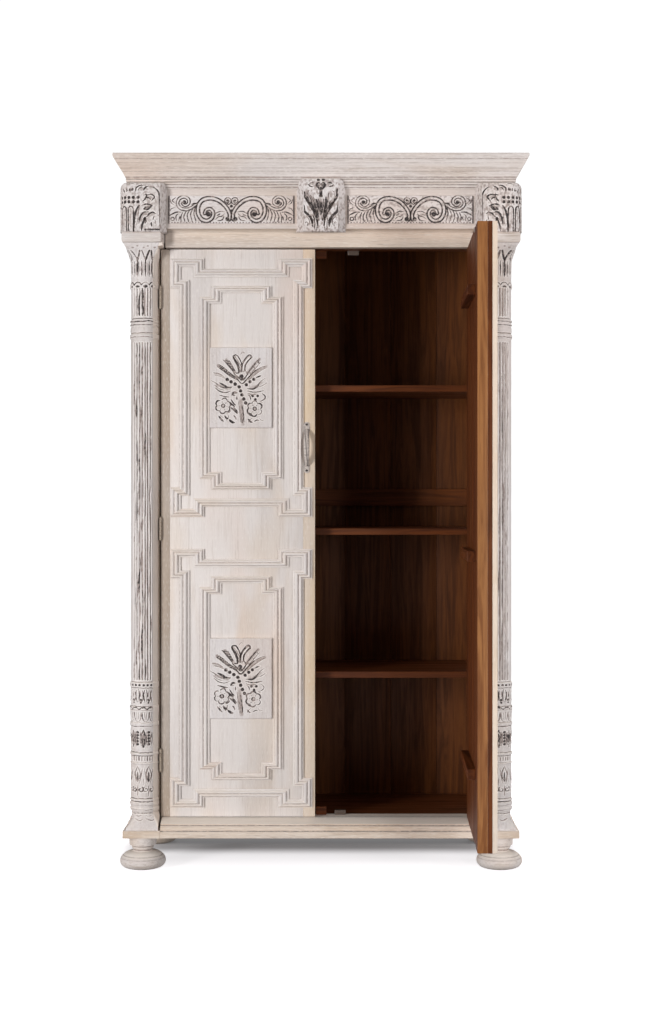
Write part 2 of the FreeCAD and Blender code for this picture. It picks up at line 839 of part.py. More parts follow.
def make_handle():
    ends = []
    screws = []
    inwards = Vector(0, 1, 0)
    radius = handle_end_width / 2
    middle = handle_end_length - handle_end_width
    for way in (-1, 1):
        z = handle_mid_z + way * (handle_length - handle_end_length) / 2
        low, high = z - middle / 2, z + middle / 2
        tab = box(handle_x - radius, handle_x + radius, handle_end_thickness, 0, low, high)
        for end_z in (low, high):
            place = Vector(handle_x, ahead(handle_end_thickness), end_z)
            tab = tab.fuse(Part.makeCylinder(radius, handle_end_thickness, place, inwards))
        ends.append(tab.removeSplitter())
        z = handle_mid_z + way * handle_centres / 2
        place = Vector(handle_x, ahead(handle_end_thickness + screw_head_height), z)
        screws.append(Part.makeCylinder(screw_head_radius, screw_head_height, place, inwards))
    span = handle_span / 2
    sink = handle_grip_radius
    start = Vector(handle_x, ahead(-sink), handle_mid_z - span)
    crest = Vector(handle_x, ahead(handle_stand), handle_mid_z)
    end = Vector(handle_x, ahead(-sink), handle_mid_z + span)
    arc = Part.Arc(start, crest, end)
    path = Part.Wire([arc.toShape()])
    tangent = arc.tangent(arc.FirstParameter)[0]
    ring = Part.Wire([Part.Circle(start, tangent, handle_grip_radius).toShape()])
    bow = path.makePipeShell([ring], True, True)
    reach = handle_grip_radius + overrun
    keep = box(handle_x - reach, handle_x + reach, handle_stand + reach, handle_end_thickness,
               handle_mid_z - handle_length / 2, handle_mid_z + handle_length / 2)
    save("handle_bow", [bow.common(keep)])
    save("handle_ends", ends)
    save("handle_screws", screws)


def make_doors():
    for name, value in make_door(-1, left_edge_x).items():
        save("left_" + name, value)
    pieces = make_door(1, right_edge_x)
    far_x = right_edge_x + closing_strip_width
    strip = box(right_edge_x, far_x, closing_strip_proud, 0, door_low_z, door_high_z)
    pieces["closing_strip"] = [strip]
    pin = Vector(pin_x, ahead(hinge_pin_ahead), 0)
    for name, value in pieces.items():
        turned_pieces = []
        for shape in value:
            shape = shape.copy()
            shape.rotate(pin, Vector(0, 0, 1), right_door_angle)
            turned_pieces.append(shape)
        save("right_" + name, turned_pieces)


def main():
    os.makedirs("parts", exist_ok=True)
    make_feet()
    make_base()
    make_posts()
    make_sides()
    make_back()
    make_shelves()
    make_stops_and_catches()
    make_columns()
    make_capitals()
    make_architrave()
    make_frieze()
    make_consoles()
    make_cornice()
    make_hinges()
    make_handle()
    make_doors()


main()
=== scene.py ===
import functools
import math

import bmesh
import bpy
import numpy as np
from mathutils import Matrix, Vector


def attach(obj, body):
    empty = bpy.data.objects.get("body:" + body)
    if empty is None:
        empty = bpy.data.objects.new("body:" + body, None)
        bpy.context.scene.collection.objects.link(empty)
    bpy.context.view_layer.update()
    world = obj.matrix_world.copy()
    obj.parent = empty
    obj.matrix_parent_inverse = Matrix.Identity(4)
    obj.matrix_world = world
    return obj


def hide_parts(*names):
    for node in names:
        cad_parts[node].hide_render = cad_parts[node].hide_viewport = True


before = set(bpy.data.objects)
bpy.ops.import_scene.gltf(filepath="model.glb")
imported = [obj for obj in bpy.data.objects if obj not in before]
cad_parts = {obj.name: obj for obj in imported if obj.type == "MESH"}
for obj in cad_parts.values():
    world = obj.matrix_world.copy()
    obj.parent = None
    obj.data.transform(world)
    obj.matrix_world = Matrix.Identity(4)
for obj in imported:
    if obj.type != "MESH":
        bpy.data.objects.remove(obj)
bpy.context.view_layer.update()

# Two-door cabinet in limed and carved mango wood, dark inside. Millimetres until points become metres.
# X runs to the right, "ahead" is the distance in front of the doors' face, and heights start at the floor.
# A side is 1 on the right and -1 on the left.

MM = 0.001
FACE_Y = -160.0
RNG = np.random.default_rng(7)

# Doors, as the CAD has them
DOOR_OUTER_X = 485.2
LEFT_EDGE_X, RIGHT_EDGE_X = -18.5, -14.0
PIN_X, PIN_AHEAD = 486.7, 4.5
RIGHT_DOOR_ANGLE = 88.5
DOOR_LOW, DOOR_HIGH = 147.5, 1866.5
DOOR_CENTRE_X = DOOR_OUTER_X / 2
PANEL_HEIGHTS = (567.0, 1447.0)
CORE_REAR, CORE_FRONT = -41.0, -12.5
HINGE_STILE_X, CLOSING_STILE_X = 458.3, 54.5

# Mouldings of the door panels
OUTER_HALF_WIDTH, OUTER_HALF_HEIGHT = 215.7, 391.5
EAR_WIDTH, EAR_HEIGHT, EAR_RISE, EAR_REACH = 103.7, 90.0, 31.0, 26.7
OUTER_STRIP = (33.0, 25.0)
INNER_HALF_WIDTH, INNER_HALF_HEIGHT = 127.0, 309.0
NOTCH_WIDTH, NOTCH_HEIGHT = 35.6, 33.0
INNER_STRIP = (32.0, 21.0)
MOULDING_PROUD = 11.0
MOULDING_STEP = 0.9
# Share across the strip and share of its height
STRIP_SHARES = (
    (0.00, 0.38), (0.12, 0.38), (0.16, 0.74), (0.26, 0.90), (0.36, 0.74), (0.40, 0.56), (0.46, 0.56),
    (0.50, 0.88), (0.62, 1.00), (0.74, 0.88), (0.78, 0.50), (0.88, 0.42), (1.00, 0.30),
)
PLAQUE_HALF_WIDTH, PLAQUE_HALF_HEIGHT, PLAQUE_PROUD, PLAQUE_EDGE = 94.2, 121.5, 12.0, 3.2

# Columns and capital blocks
COLUMN_X, COLUMN_INNER_X = 531.1, 489.0
COLUMN_LOW, COLUMN_HIGH = 116.0, 1878.0
COLUMN_RADIUS, COLUMN_BACK = 40.0, -12.0
COLUMN_GRID_STEP, COLUMN_CARVED_DEGREES = 1.6, 106.0
# The square foot's top and the square head's foot, and how far the foot spreads
SQUARE_FOOT_TOP, SQUARE_HEAD_FOOT, FOOT_SPREAD = 160.0, 1836.0, 15.0
OUTER_HALF_BROADER = 0.19
LONG_FLUTES, SHORT_FLUTES = (566.0, 1580.0), (1662.0, 1744.0)
FLUTE_PITCH = 8.2
FLUTES = range(-2, 5)
CAPITAL_FRONT, CAPITAL_INNER_X, CAPITAL_OUTER_X = 62.0, 475.0, 597.0

# Feet, base rail and back
FOOT_X, FOOT_FRONT_AHEAD, FOOT_REAR_AHEAD, FOOT_TOP = 538.0, 15.0, -344.0, 94.0
RAIL_REAR, RAIL_SEAM, RAIL_TOP = -60.0, -12.0, 144.5
RAIL_HALF, RAIL_CORE_HALF = 482.0, 488.2
BACK_HALF, BACK_FRONT, BACK_REAR = 526.0, -400.0, -416.0

# Frieze and consoles
CARVING_STEP = 1.25
FRIEZE_AHEAD, FRIEZE_FOOT = 50.0, 1909.5
FRIEZE_START, FRIEZE_END = 80.0, 457.0
FRIEZE_PANEL_LOW, FRIEZE_PANEL_HIGH, FRIEZE_PANEL_PROUD = 1936.0, 2019.0, 8.0
CONSOLE_WIDEST_SHARE = 0.66
CONSOLE_FOOT, CONSOLE_TOP, CONSOLE_REACH = 21.0, 22.0, 36.0
CONSOLE_OUTER_X, CONSOLE_INNER_X, CONSOLE_NOSE, CONSOLE_ROUND = 603.0, 461.0, 86.0, 38.0
# Lengths along the corner console's line, of its inner flank and of its flat front
CONSOLE_FLANK, CONSOLE_FLAT = 40.07, 86.4

# Cornice and bed moulding
BODY_HALF, BACK_Y = 574.0, 256.0
BED_Z, CORNICE_Z = 2040.0, 2071.0
BED_REACH, BED_HEIGHT, BED_FOOT, BED_REEDS = 10.0, 31.0, 4.0, 3
CORNICE_REACH, CORNICE_HEIGHT, CORNICE_SEAT = 36.0, 68.5, 34.0

# Handle
HANDLE_X, HANDLE_Z = -43.6, 1266.0
HANDLE_CREST, HANDLE_HALF_SPAN, HANDLE_SINK = 27.0, 59.0, 5.5
TAB_AWAY, TAB_RADIUS, TAB_HALF_STRAIGHT = 60.0, 9.5, 8.5


# Placing points

def at_rest(x, ahead, z):
    """Points in metres from X, the distance ahead of the doors' face and the height, all in millimetres."""
    return np.stack(np.broadcast_arrays(x, FACE_Y - np.asarray(ahead, float), z), -1) * MM


def on_open_door(x, ahead, z):
    """The same for a point of the right door, given as if the door were closed."""
    angle = math.radians(RIGHT_DOOR_ANGLE)
    dx = np.asarray(x, float) - PIN_X
    dy = PIN_AHEAD - np.asarray(ahead, float)
    turned_x = PIN_X + math.cos(angle) * dx - math.sin(angle) * dy
    turned_y = FACE_Y - PIN_AHEAD + math.sin(angle) * dx + math.cos(angle) * dy
    return np.stack(np.broadcast_arrays(turned_x, turned_y, z), -1) * MM


# Meshes

def make_piece(name, body, node, materials, parts, sharp, ids=None):
    """Piece from its parts of (points, faces, wax). It rides on a body and stands for a CAD node."""
    points, faces, shades = [], [], []
    for part_points, part_faces, wax in parts:
        faces += [[len(points) + k for k in face] for face in part_faces]
        shades += np.broadcast_to(wax, part_points.shape[:-1]).ravel().tolist()
        points += part_points.reshape(-1, 3).tolist()
    mesh = bpy.data.meshes.new(name)
    mesh.from_pydata(points, [], faces)
    mesh.validate()
    for material in materials:
        mesh.materials.append(material)
    mesh.polygons.foreach_set("use_smooth", [True] * len(mesh.polygons))
    if ids is not None:
        mesh.polygons.foreach_set("material_index", ids)
    mesh.set_sharp_from_angle(angle=math.radians(sharp))
    mesh.attributes.new("wax", "FLOAT", "POINT").data.foreach_set("value", shades)
    mesh.update()
    piece = bpy.data.objects.new(name, mesh)
    bpy.context.scene.collection.objects.link(piece)
    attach(piece, body)
    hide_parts(node)


def grid_faces(points, around=False, loop=False, flip=False, closed=True):
    """Quads of a grid of points and the faces that close it: over its two ends if it goes round, or its rim.

    around joins each row's last point to its first, and loop the last row to the first.
    """
    index = np.arange(points.shape[0] * points.shape[1]).reshape(points.shape[:2])
    wrapped = np.pad(index, ((0, int(loop)), (0, int(around))), "wrap")
    corners = wrapped[:-1, :-1], wrapped[:-1, 1:], wrapped[1:, 1:], wrapped[1:, :-1]
    faces = np.stack(corners, -1).reshape(-1, 4).tolist()
    if closed and around and not loop:
        faces += [index[0, ::-1].tolist(), index[-1].tolist()]
    elif closed and not around:
        rim = np.concatenate([index[0], index[1:, -1], index[-1, -2::-1], index[-2:0:-1, 0]])
        faces.append(rim[::-1].tolist())
    return [face[::-1] for face in faces] if flip else faces


def lines(low, high, step):
    return np.linspace(low, high, int(round((high - low) / step)) + 1)


def round_the_circle(count):
    return np.linspace(0, 2 * math.pi, count, endpoint=False)


def run_along(points):
    """Length along a line at each of its points."""
    return np.concatenate([[0], np.cumsum(np.hypot(*np.diff(points, axis=0).T))])


def smooth(points):
    """Soft line through all the points."""
    p = np.asarray(points, float)
    p = np.vstack([2 * p[0] - p[1], p, 2 * p[-1] - p[-2]])
    t = np.linspace(0, 1, 8, endpoint=False)[:, None]
    line = []
    for a, b, c, d in zip(p, p[1:], p[2:], p[3:]):
        line.append(0.5 * (2 * b + (c - a) * t + (2 * a - 5 * b + 4 * c - d) * t ** 2
                           + (3 * b - a - 3 * c + d) * t ** 3))
    return np.vstack(line + [p[-2:-1]])


def arc(centre, radius, start, end, steps=16):
    """Line round a centre, angles in degrees. A radius pair winds it inwards or outwards."""
    first, last = radius if isinstance(radius, tuple) else (radius, radius)
    angle = np.radians(np.linspace(start, end, steps))
    reach = np.linspace(first, last, steps)
    return np.stack([centre[0] + reach * np.cos(angle), centre[1] + reach * np.sin(angle)], -1)


def softened(values):
    """Values with their corners rubbed down, the two ends kept."""
    for _ in range(2):
        values = np.concatenate([values[:1], (values[:-2] + 2 * values[1:-1] + values[2:]) / 4, values[-1:]])
    return values


def gathered(height, step, reach, full):
    """Share of dark wax that stays where a surface lies lower than its surroundings."""
    count = max(1, int(round(reach / step)))
    kernel = np.ones(2 * count + 1) / (2 * count + 1)
    around = height
    for axis in range(around.ndim):
        padded = np.pad(around, [(count, count) if k == axis else (0, 0) for k in range(around.ndim)], "edge")
        around = np.apply_along_axis(np.convolve, axis, padded, kernel, "valid")
    return np.clip((around - height) / full, 0, 1)


def smoothed(values, across=3, along=3):
    """Grid of values after rounds of averaging with their neighbours, across and along."""
    for axis, rounds in ((1, across), (0, along)):
        for _ in range(rounds):
            values = (np.roll(values, 1, axis) + values + np.roll(values, -1, axis)) / 3
    return values


def weathered(height, wax, step, low_share, highlight_share, ground):
    """Wax kept in the hollows as positive numbers, and whitening on the crests as negative ones: lime rubbed
    up there and a painted highlight.
    """
    kept = np.maximum(wax, low_share * gathered(height, step, 4.0, 1.6))
    kept = np.maximum(kept, ground * gathered(height, step, 11.0, 1.4))
    # A soft copy of each cut's dark, moved a little down and to the right
    shifted_dark = smoothed(np.roll(np.clip(wax, 0, 1), (-1, 1), (0, 1)), 2, 2)
    kept = np.maximum(kept, 0.32 * shifted_dark)
    # Painted highlight: crests that stand above their surroundings are whitened
    crest_highlight = gathered(-height, step, 3.0, 0.6)
    return np.where(kept > 0.18, kept, kept * (1 - crest_highlight) - highlight_share * crest_highlight)


# Carving: a face as a grid of heights and dark wax

def thinned(share, taper, least):
    """Share of a stroke's width along it, thinner towards its ends by the two tapers."""
    thin = 1 - taper[0] * np.clip(1 - share / 0.4, 0, 1) ** 2
    thin -= taper[1] * np.clip((share - 0.6) / 0.4, 0, 1) ** 2
    return np.maximum(thin, least)


class Carving:
    """Face with u across and v up, in millimetres. The tools cut it, raise it and leave wax in it."""

    def __init__(self, u_line, v_line, weight=1.0, hand=0.15):
        # weight widens every line, and hand is how much the carver's lines differ
        self.weight, self.hand = weight, hand
        self.u_line, self.v_line = u_line, v_line
        self.u, self.v = np.meshgrid(u_line, v_line)
        self.h = np.zeros_like(self.u)
        self.wax = np.zeros_like(self.u)
        self.mark()

    def mark(self, u=0.0, v=0.0, way=1, bend=float):
        """Where the next points count from, which way across, and the length along the face for each u."""
        self.from_u, self.from_v, self.way, self.bend = u, v, way, bend

    def spots(self, *points):
        return [(self.from_u + self.way * self.bend(u), self.from_v + v) for u, v in points]

    def line(self, *points):
        return smooth(self.spots(*points)) if len(points) > 2 else self.spots(*points)

    def near(self, path, reach):
        """Window round a path, with each point's distance to it and its share of the path's length."""
        path = np.asarray(path, float)
        low, high = path.min(0) - reach, path.max(0) + reach
        rows = slice(*np.searchsorted(self.v_line, (low[1], high[1])))
        columns = slice(*np.searchsorted(self.u_line, (low[0], high[0])))
        u, v = self.u[rows, columns], self.v[rows, columns]
        if len(path) == 1:
            return (rows, columns), np.hypot(u - path[0, 0], v - path[0, 1]), np.full(u.shape, 0.5)
        run = run_along(path)
        far, share = np.full(u.shape, 1e9), np.zeros(u.shape)
        for k, (a, b) in enumerate(zip(path, path[1:])):
            d = b - a
            t = np.clip(((u - a[0]) * d[0] + (v - a[1]) * d[1]) / max(d @ d, 1e-9), 0, 1)
            one = np.hypot(u - a[0] - t * d[0], v - a[1] - t * d[1])
            nearer = one < far
            share[nearer] = ((run[k] + t * (run[k + 1] - run[k])) / max(run[-1], 1e-9))[nearer]
            far[nearer] = one[nearer]
        return (rows, columns), far, share

    def cut(self, path, width, depth, wax=1.0, taper=(0.6, 0.6)):
        """Groove with a round bottom."""
        width = width * self.weight
        if len(path) > 1:
            width = width * RNG.uniform(1 - self.hand, 1 + self.hand)
            wax = wax * RNG.uniform(1 - self.hand, 1)
        place, far, share = self.near(path, width / 2 + 2.5)
        half = width / 2 * thinned(share, taper, 0.15)
        inside = np.clip(1 - (far / half) ** 2, 0, 1)
        lip = np.clip(1 - ((far - half - 1.0) / 1.2) ** 2, 0, 1) * (inside <= 0)
        self.h[place] += 0.3 * depth * lip - depth * inside
        self.wax[place] = np.maximum(self.wax[place], wax * np.clip(1.8 * inside, 0, 1))

    def strokes(self, depth, rows, taper=(0.6, 0.6), same=()):
        """Cuts of one depth, each from its width, its wax and the points of its soft line.

        Where every row has the same width and wax, same gives them and the rows are points alone.
        """
        for row in rows:
            width, wax, *points = (*same, *row)
            self.cut(self.line(*points), width, depth, wax, taper)

    def tendril(self, path, width, height, line=2.4, wax=1.0, taper=(0.4, 0.4)):
        """Round raised stem with a dark groove along both its sides."""
        line = line * self.weight
        place, far, share = self.near(path, width / 2 + 2 * line)
        half = width / 2 * thinned(share, taper, 0.2)
        groove = np.clip(1 - ((far - half - line / 2) / (line * 0.8)) ** 2, 0, 1)
        crown = height * np.sqrt(np.clip(1 - (far / half) ** 2, 0, 1))
        inside = far < half
        self.h[place] = np.where(inside, np.maximum(self.h[place], 0) * 0.3 + crown,
                                 self.h[place] - 1.2 * groove)
        self.wax[place] = np.where(inside, 0.10 + 0.25 * self.wax[place] * (far / half),
                                   np.maximum(self.wax[place], wax * groove))

    def glaze(self, path, width, dark):
        """Thin wax brushed on with soft sides."""
        place, far, _ = self.near(path, width / 2)
        self.wax[place] = np.maximum(self.wax[place], dark * np.clip(1 - (2 * far / width) ** 2, 0, 1))

    def drill(self, points, radius, depth=2.2, wax=1.0):
        for point in self.spots(*points):
            self.cut([point], 2.3 * radius, depth, wax)

    def ring(self, u, v, radius, width, depth=1.8, wax=1.0):
        self.cut(arc(self.spots((u, v))[0], radius, 0, 360, 20), width, depth, wax, (0, 0))

    def worn(self, strength):
        """Small dents and rub marks of hand carving."""
        dents = smoothed(RNG.normal(size=self.h.shape))
        self.h += strength * dents / dents.std() * 0.5

    def patina(self, share, across, along):
        """Patches of thin wax that rubbing left on the ground."""
        patches = smoothed(RNG.normal(size=self.h.shape), across, along)
        self.wax = np.maximum(self.wax, share * np.clip(0.4 + 0.45 * patches / patches.std(), 0, 1))

    def slab(self, place, thickness, edge, wear):
        """Closed part with the carving as its face, its edges rounded over, and a flat back."""
        u, v = np.meshgrid(np.pad(self.u_line, 1, "edge"), np.pad(self.v_line, 1, "edge"))
        h = np.pad(self.h, 1, "edge")
        wax = weathered(h, np.pad(self.wax, 1, "edge"), *wear)
        for rim in (h[1], h[-2], h[:, 1], h[:, -2]):
            np.minimum(rim, -edge, out=rim)
        h[0] = h[-1] = h[:, 0] = h[:, -1] = -thickness
        points = place(u, v, h)
        return points, grid_faces(points), wax


# Materials

SOFT = {"interpolation_type": "SMOOTHSTEP"}


def linear(hex_colour):
    """sRGB hex to a linear colour."""
    parts = [int(hex_colour[k:k + 2], 16) / 255 for k in (1, 3, 5)]
    return tuple(p / 12.92 if p <= 0.04045 else ((p + 0.055) / 1.055) ** 2.4 for p in parts) + (1.0,)


def feed(tree, node, inputs):
    """Sets a node's inputs, by name or number, each to a value or to another node's output."""
    for key, value in inputs.items() if isinstance(inputs, dict) else enumerate(inputs):
        if isinstance(value, bpy.types.NodeSocket):
            tree.links.new(value, node.inputs[key])
        else:
            node.inputs[key].default_value = value


def add(tree, kind, inputs=(), output=0, **settings):
    """Adds a node with its settings and links, and gives one of its outputs."""
    node = tree.nodes.new("ShaderNode" + kind)
    for name, value in settings.items():
        setattr(node, name, value)
    feed(tree, node, inputs)
    return node.outputs[output]


def new_material(name, roughness, ior=1.5, metallic=0.0):
    """Material with its shader ready, as (material, tree, shader)."""
    material = bpy.data.materials.new(name)
    material.use_nodes = True
    shader = material.node_tree.nodes["Principled BSDF"]
    feed(material.node_tree, shader, {"Roughness": roughness, "Metallic": metallic})
    if not metallic:
        shader.inputs["IOR"].default_value = ior
    return material, material.node_tree, shader


def grain(tree, axis, along, across, detail=3.0, rough=0.55, twist=0.0):
    """Pattern fixed to the object, with cells per metre along the grain and across it."""
    scale = [across] * 3
    scale["xyz".index(axis)] = along
    place = add(tree, "Mapping", {0: add(tree, "TexCoord", output="Object"), "Scale": scale})
    return add(tree, "TexNoise", {"Vector": place, "Scale": 1.0, "Detail": detail, "Roughness": rough,
                                  "Distortion": twist})


def wash(tree, colour, value, low, high, most, tone):
    """Colour with a tone laid over it, from none where the value is low to the most where it is high."""
    share = add(tree, "MapRange", (value, low, high, 0.0, most), **SOFT)
    return add(tree, "Mix", {0: share, 6: colour, 7: linear(tone)}, 2, data_type="RGBA")


def washed(tree, colour, *washes):
    for one in washes:
        colour = wash(tree, colour, *one)
    return colour


LIMED_TONES = {
    # Lime-washed ground, wood that shows through, how much of it shows, and how strong the grain is
    "plain": ("#DFD7D3", "#D2BBA2", 0.36, 0.22),
    "streaked": ("#D9D0CC", "#C6AE98", 0.42, 0.55),
    "worn": ("#D8C7B8", "#BBA084", 0.60, 0.55),
    "carved": ("#DAD3D2", "#BFB0A6", 0.35, 0.25),
    "warm": ("#E2D0BE", "#D2B594", 0.50, 0.22),
    "cool": ("#D3C7C1", "#BCA999", 0.40, 0.30),
    # Painted shade: a darker tone for the hinge stiles in the columns' shadow and the rear feet under the
    # cabinet
    "painted_shade": ("#B2A59A", "#A8937F", 0.50, 0.35),
    # Painted light: a paler tone for the columns' plain inner flanks, which lie in shade
    "pale": ("#EFE3D9", "#E3D2C2", 0.35, 0.20),
    "honey": ("#DCC8B2", "#D0B48C", 0.50, 0.20),
}
WALNUT_TONES = {"deep": ("#6A3D1E", "#4C2913"), "edge": ("#A06C40", "#7A4A28"), "mid": ("#693719", "#4A230E")}


@functools.cache
def limed_mango(axis, tone):
    """Mango wood, brushed, lime-washed and dark-waxed: pale, chalky and dull, with grain that still shows."""
    lime, bare, share, streaks = LIMED_TONES[tone]
    material, tree, shader = new_material("limed_mango_" + tone + "_" + axis, 0.72, 1.45)
    # Boards are about 120 mm wide, with tone changes every 300 mm or so along them
    patches = grain(tree, axis, 2.6, 9.0, 2.0, 0.5, 0.6)
    tint = grain(tree, axis, 1.1, 6.5, 1.0, 0.5)
    # Grain bands 12 mm wide and 300 mm long, fibres 2 mm wide and 60 mm long, pores 1 mm by 16 mm
    bands = grain(tree, axis, 3.2, 85.0, 4.0, 0.62, 1.2)
    fibres = grain(tree, axis, 16.0, 480.0, 2.0, 0.6)
    pores = grain(tree, axis, 60.0, 800.0, 0.0)
    # Wax lies in the grooves, broken up over 6 mm
    wax = add(tree, "Attribute", output="Fac", attribute_name="wax")
    rubbed = add(tree, "MapRange", (grain(tree, axis, 90.0, 170.0, 2.0, 0.6), 0.32, 0.58, 0.52, 1.0), **SOFT)
    kept = add(tree, "Math", (wax, rubbed), operation="MULTIPLY")
    # Ambient occlusion within 9 mm, read for painted shade in corners
    corner = add(tree, "AmbientOcclusion", {"Distance": 0.009}, "AO", samples=4)
    # Which way a face looks, for painted light on faces that look up
    upward_painted_light = add(tree, "SeparateXYZ", (add(tree, "NewGeometry", output="True Normal"),), "Z")
    colour = washed(
        tree, linear(lime),
        (patches, 0.42, 0.68, share, bare),
        # Pinkish and greyish boards
        (tint, 0.50, 0.72, 0.28, "#D8B7A2"), (tint, 0.46, 0.30, 0.40, "#BFB8B6"),
        (bands, 0.50, 0.74, streaks, "#A08B79"), (fibres, 0.52, 0.78, 0.9 * streaks, "#8E7A6C"),
        # Limed pores stay white
        (pores, 0.58, 0.75, 0.30, "#F1ECE6"),
        # A brown glaze where the wax is thin, black where it is thick, and near-white on the crests: lime
        # rubbed up there and a painted highlight
        (kept, 0.03, 0.40, 0.72, "#8D7A72"), (kept, 0.34, 0.78, 0.97, "#1F181A"),
        (wax, -0.15, -0.80, 0.60, "#F4EFEC"),
        # Painted shade: darker in the corners where pieces meet, within 9 mm
        (corner, 0.70, 0.25, 0.40, "#7A6657"),
        # Painted light: faces that look up are made whiter
        (upward_painted_light, 0.45, 0.95, 0.70, "#F2E9DF"))
    height = add(tree, "Math", (bands, fibres), operation="ADD")
    bump = add(tree, "Bump", {"Strength": 0.35, "Distance": 0.0006, "Height": height})
    dull = add(tree, "MapRange", (fibres, 0.35, 0.7, 0.62, 0.82), **SOFT)
    feed(tree, shader, {"Base Color": colour, "Normal": bump, "Roughness": dull})
    return material


@functools.cache
def walnut_stained_mango(axis, tone):
    """Mango wood, stained walnut and oiled: deep red-brown with darker bands and a low sheen."""
    light, dark = WALNUT_TONES[tone]
    material, tree, shader = new_material("walnut_stained_mango_" + tone + "_" + axis, 0.55)
    # Bands 25 mm wide and 400 mm long, fibres 2 mm wide and 70 mm long, and boards about 140 mm wide
    bands = grain(tree, axis, 2.5, 40.0, 4.0, 0.6, 1.4)
    fibres = grain(tree, axis, 14.0, 420.0, 2.0, 0.6)
    patches = grain(tree, axis, 2.0, 7.0, 1.0)
    colour = washed(tree, linear(light), (bands, 0.36, 0.66, 1.0, dark),
                    (fibres, 0.50, 0.75, 0.30, "#26130A"), (patches, 0.45, 0.70, 0.20, "#6E4526"))
    bump = add(tree, "Bump", {"Strength": 0.3, "Distance": 0.0005, "Height": fibres})
    sheen = add(tree, "MapRange", (bands, 0.3, 0.7, 0.42, 0.60), **SOFT)
    feed(tree, shader, {"Base Color": colour, "Normal": bump, "Roughness": sheen, "Specular IOR Level": 0.15})
    return material


def speckled_finish(name, base, worn, roughness, metallic, spots, share, bump_distance):
    """Cast, pressed or painted surface with spots of its worn tone, a number of them per metre."""
    material, tree, shader = new_material(name, roughness, metallic=metallic)
    marks = grain(tree, "x", spots, spots, 3.0, 0.6)
    wax = add(tree, "Attribute", output="Fac", attribute_name="wax")
    colour = washed(tree, linear(base), (marks, 0.45, 0.70, share, worn), (wax, 0.1, 0.9, 0.85, "#2E2729"))
    bump = add(tree, "Bump", {"Strength": 0.4, "Distance": bump_distance, "Height": marks})
    feed(tree, shader, {"Base Color": colour, "Normal": bump})
    return material


# Cast iron, lime-washed: grey with mauve-brown where the wash is rubbed off every 5 mm or so
limed_cast_iron = speckled_finish("limed_cast_iron", "#C6BBB3", "#7A6D6C", 0.55, 0.0, 200.0, 0.75, 0.0004)
# Steel hinges painted over with the lime wash: grey-cream, chipped down to brown
painted_hinge_steel = speckled_finish(
    "painted_hinge_steel", "#AA9B8A", "#6F5B4B", 0.5, 0.0, 150.0, 0.6, 0.0002)
# Iron screws, blackened: dark, with a dull brown bloom
blackened_screws = speckled_finish("blackened_screws", "#2E2826", "#4B4039", 0.5, 0.0, 400.0, 0.5, 0.0001)
# Pressed steel strike plates, zinc plated: grey metal with a dull bloom
strike_steel = speckled_finish("strike_steel", "#B9BABC", "#8D8F93", 0.35, 1.0, 300.0, 0.5, 0.0001)
# Moulded plastic catches: even dark brown with a satin skin
catch_plastic = speckled_finish("catch_plastic", "#4A3C33", "#5A4A40", 0.4, 0.0, 250.0, 0.3, 0.0001)
CARVED_MANGO = limed_mango("z", "carved")


# Panel mouldings of the doors

def mirror_quarters(quarter):
    """Whole outline, clockwise, from its upper right quarter."""
    right = quarter + [(u, -v) for u, v in reversed(quarter)]
    return right + [(-u, v) for u, v in reversed(right)]


EARED_OUTLINE = mirror_quarters([
    (OUTER_HALF_WIDTH - EAR_WIDTH, OUTER_HALF_HEIGHT - EAR_RISE),
    (OUTER_HALF_WIDTH - EAR_WIDTH, OUTER_HALF_HEIGHT), (OUTER_HALF_WIDTH, OUTER_HALF_HEIGHT),
    (OUTER_HALF_WIDTH, OUTER_HALF_HEIGHT - EAR_HEIGHT),
    (OUTER_HALF_WIDTH - EAR_REACH, OUTER_HALF_HEIGHT - EAR_HEIGHT)])
STEPPED_OUTLINE = mirror_quarters([
    (INNER_HALF_WIDTH - NOTCH_WIDTH, INNER_HALF_HEIGHT),
    (INNER_HALF_WIDTH - NOTCH_WIDTH, INNER_HALF_HEIGHT - NOTCH_HEIGHT),
    (INNER_HALF_WIDTH, INNER_HALF_HEIGHT - NOTCH_HEIGHT)])


def swept_lines(path, shifts, closed=True):
    """Corners of a clockwise path moved out by each (shift of upright edges, shift of level edges)."""
    corners = []
    for k, (x, y) in enumerate(path):
        normals = set()
        for first, second, there in (
            (k - 1, k, closed or k > 0), (k, (k + 1) % len(path), closed or k < len(path) - 1)
        ):
            if there:
                dx, dy = np.subtract(path[second], path[first])
                length = math.hypot(dx, dy)
                normals.add((round(-dy / length, 6), round(dx / length, 6)))
        nx, ny = np.sum(list(normals), 0)
        corners.append([(x + a * nx, y + b * ny) for a, b in shifts])
    return np.array(corners)


def panel_mouldings(name, outline, strip, place, side, body, node):
    """Both mouldings of one kind on a door, with mitred corners and grain along each length."""
    across = lines(0, 1, MOULDING_STEP / strip[0])
    shares, heights = np.array(STRIP_SHARES).T
    height = softened(np.interp(across, shares, heights * MOULDING_PROUD))
    # Wax lies in the quirks between the beads, and thinly where the strip meets the door
    wax = np.pad(0.42 * gathered(height, MOULDING_STEP, 2.4, 1.3), 1, constant_values=0.12)
    across, height = np.pad(across, 1, "edge"), np.pad(height, 1)
    corners = swept_lines(outline, [(-strip[0] * s, -strip[1] * s) for s in across])
    parts = []
    for centre_z in PANEL_HEIGHTS:
        points = place(side * DOOR_CENTRE_X + corners[..., 0], height, centre_z + corners[..., 1])
        parts.append((points, grid_faces(points, True, True, True), wax))
    level = [int(abs(a[1] - b[1]) < 1e-6) for a, b in zip(outline, outline[1:] + outline[:1])]
    # On the open door the level lengths run along Y
    materials = [limed_mango("z", "plain"), limed_mango("x" if side < 0 else "y", "plain")]
    ids = np.repeat(level * len(PANEL_HEIGHTS), len(across)).tolist()
    make_piece(name, body, node, materials, parts, sharp=35, ids=ids)


# Plaques of the doors

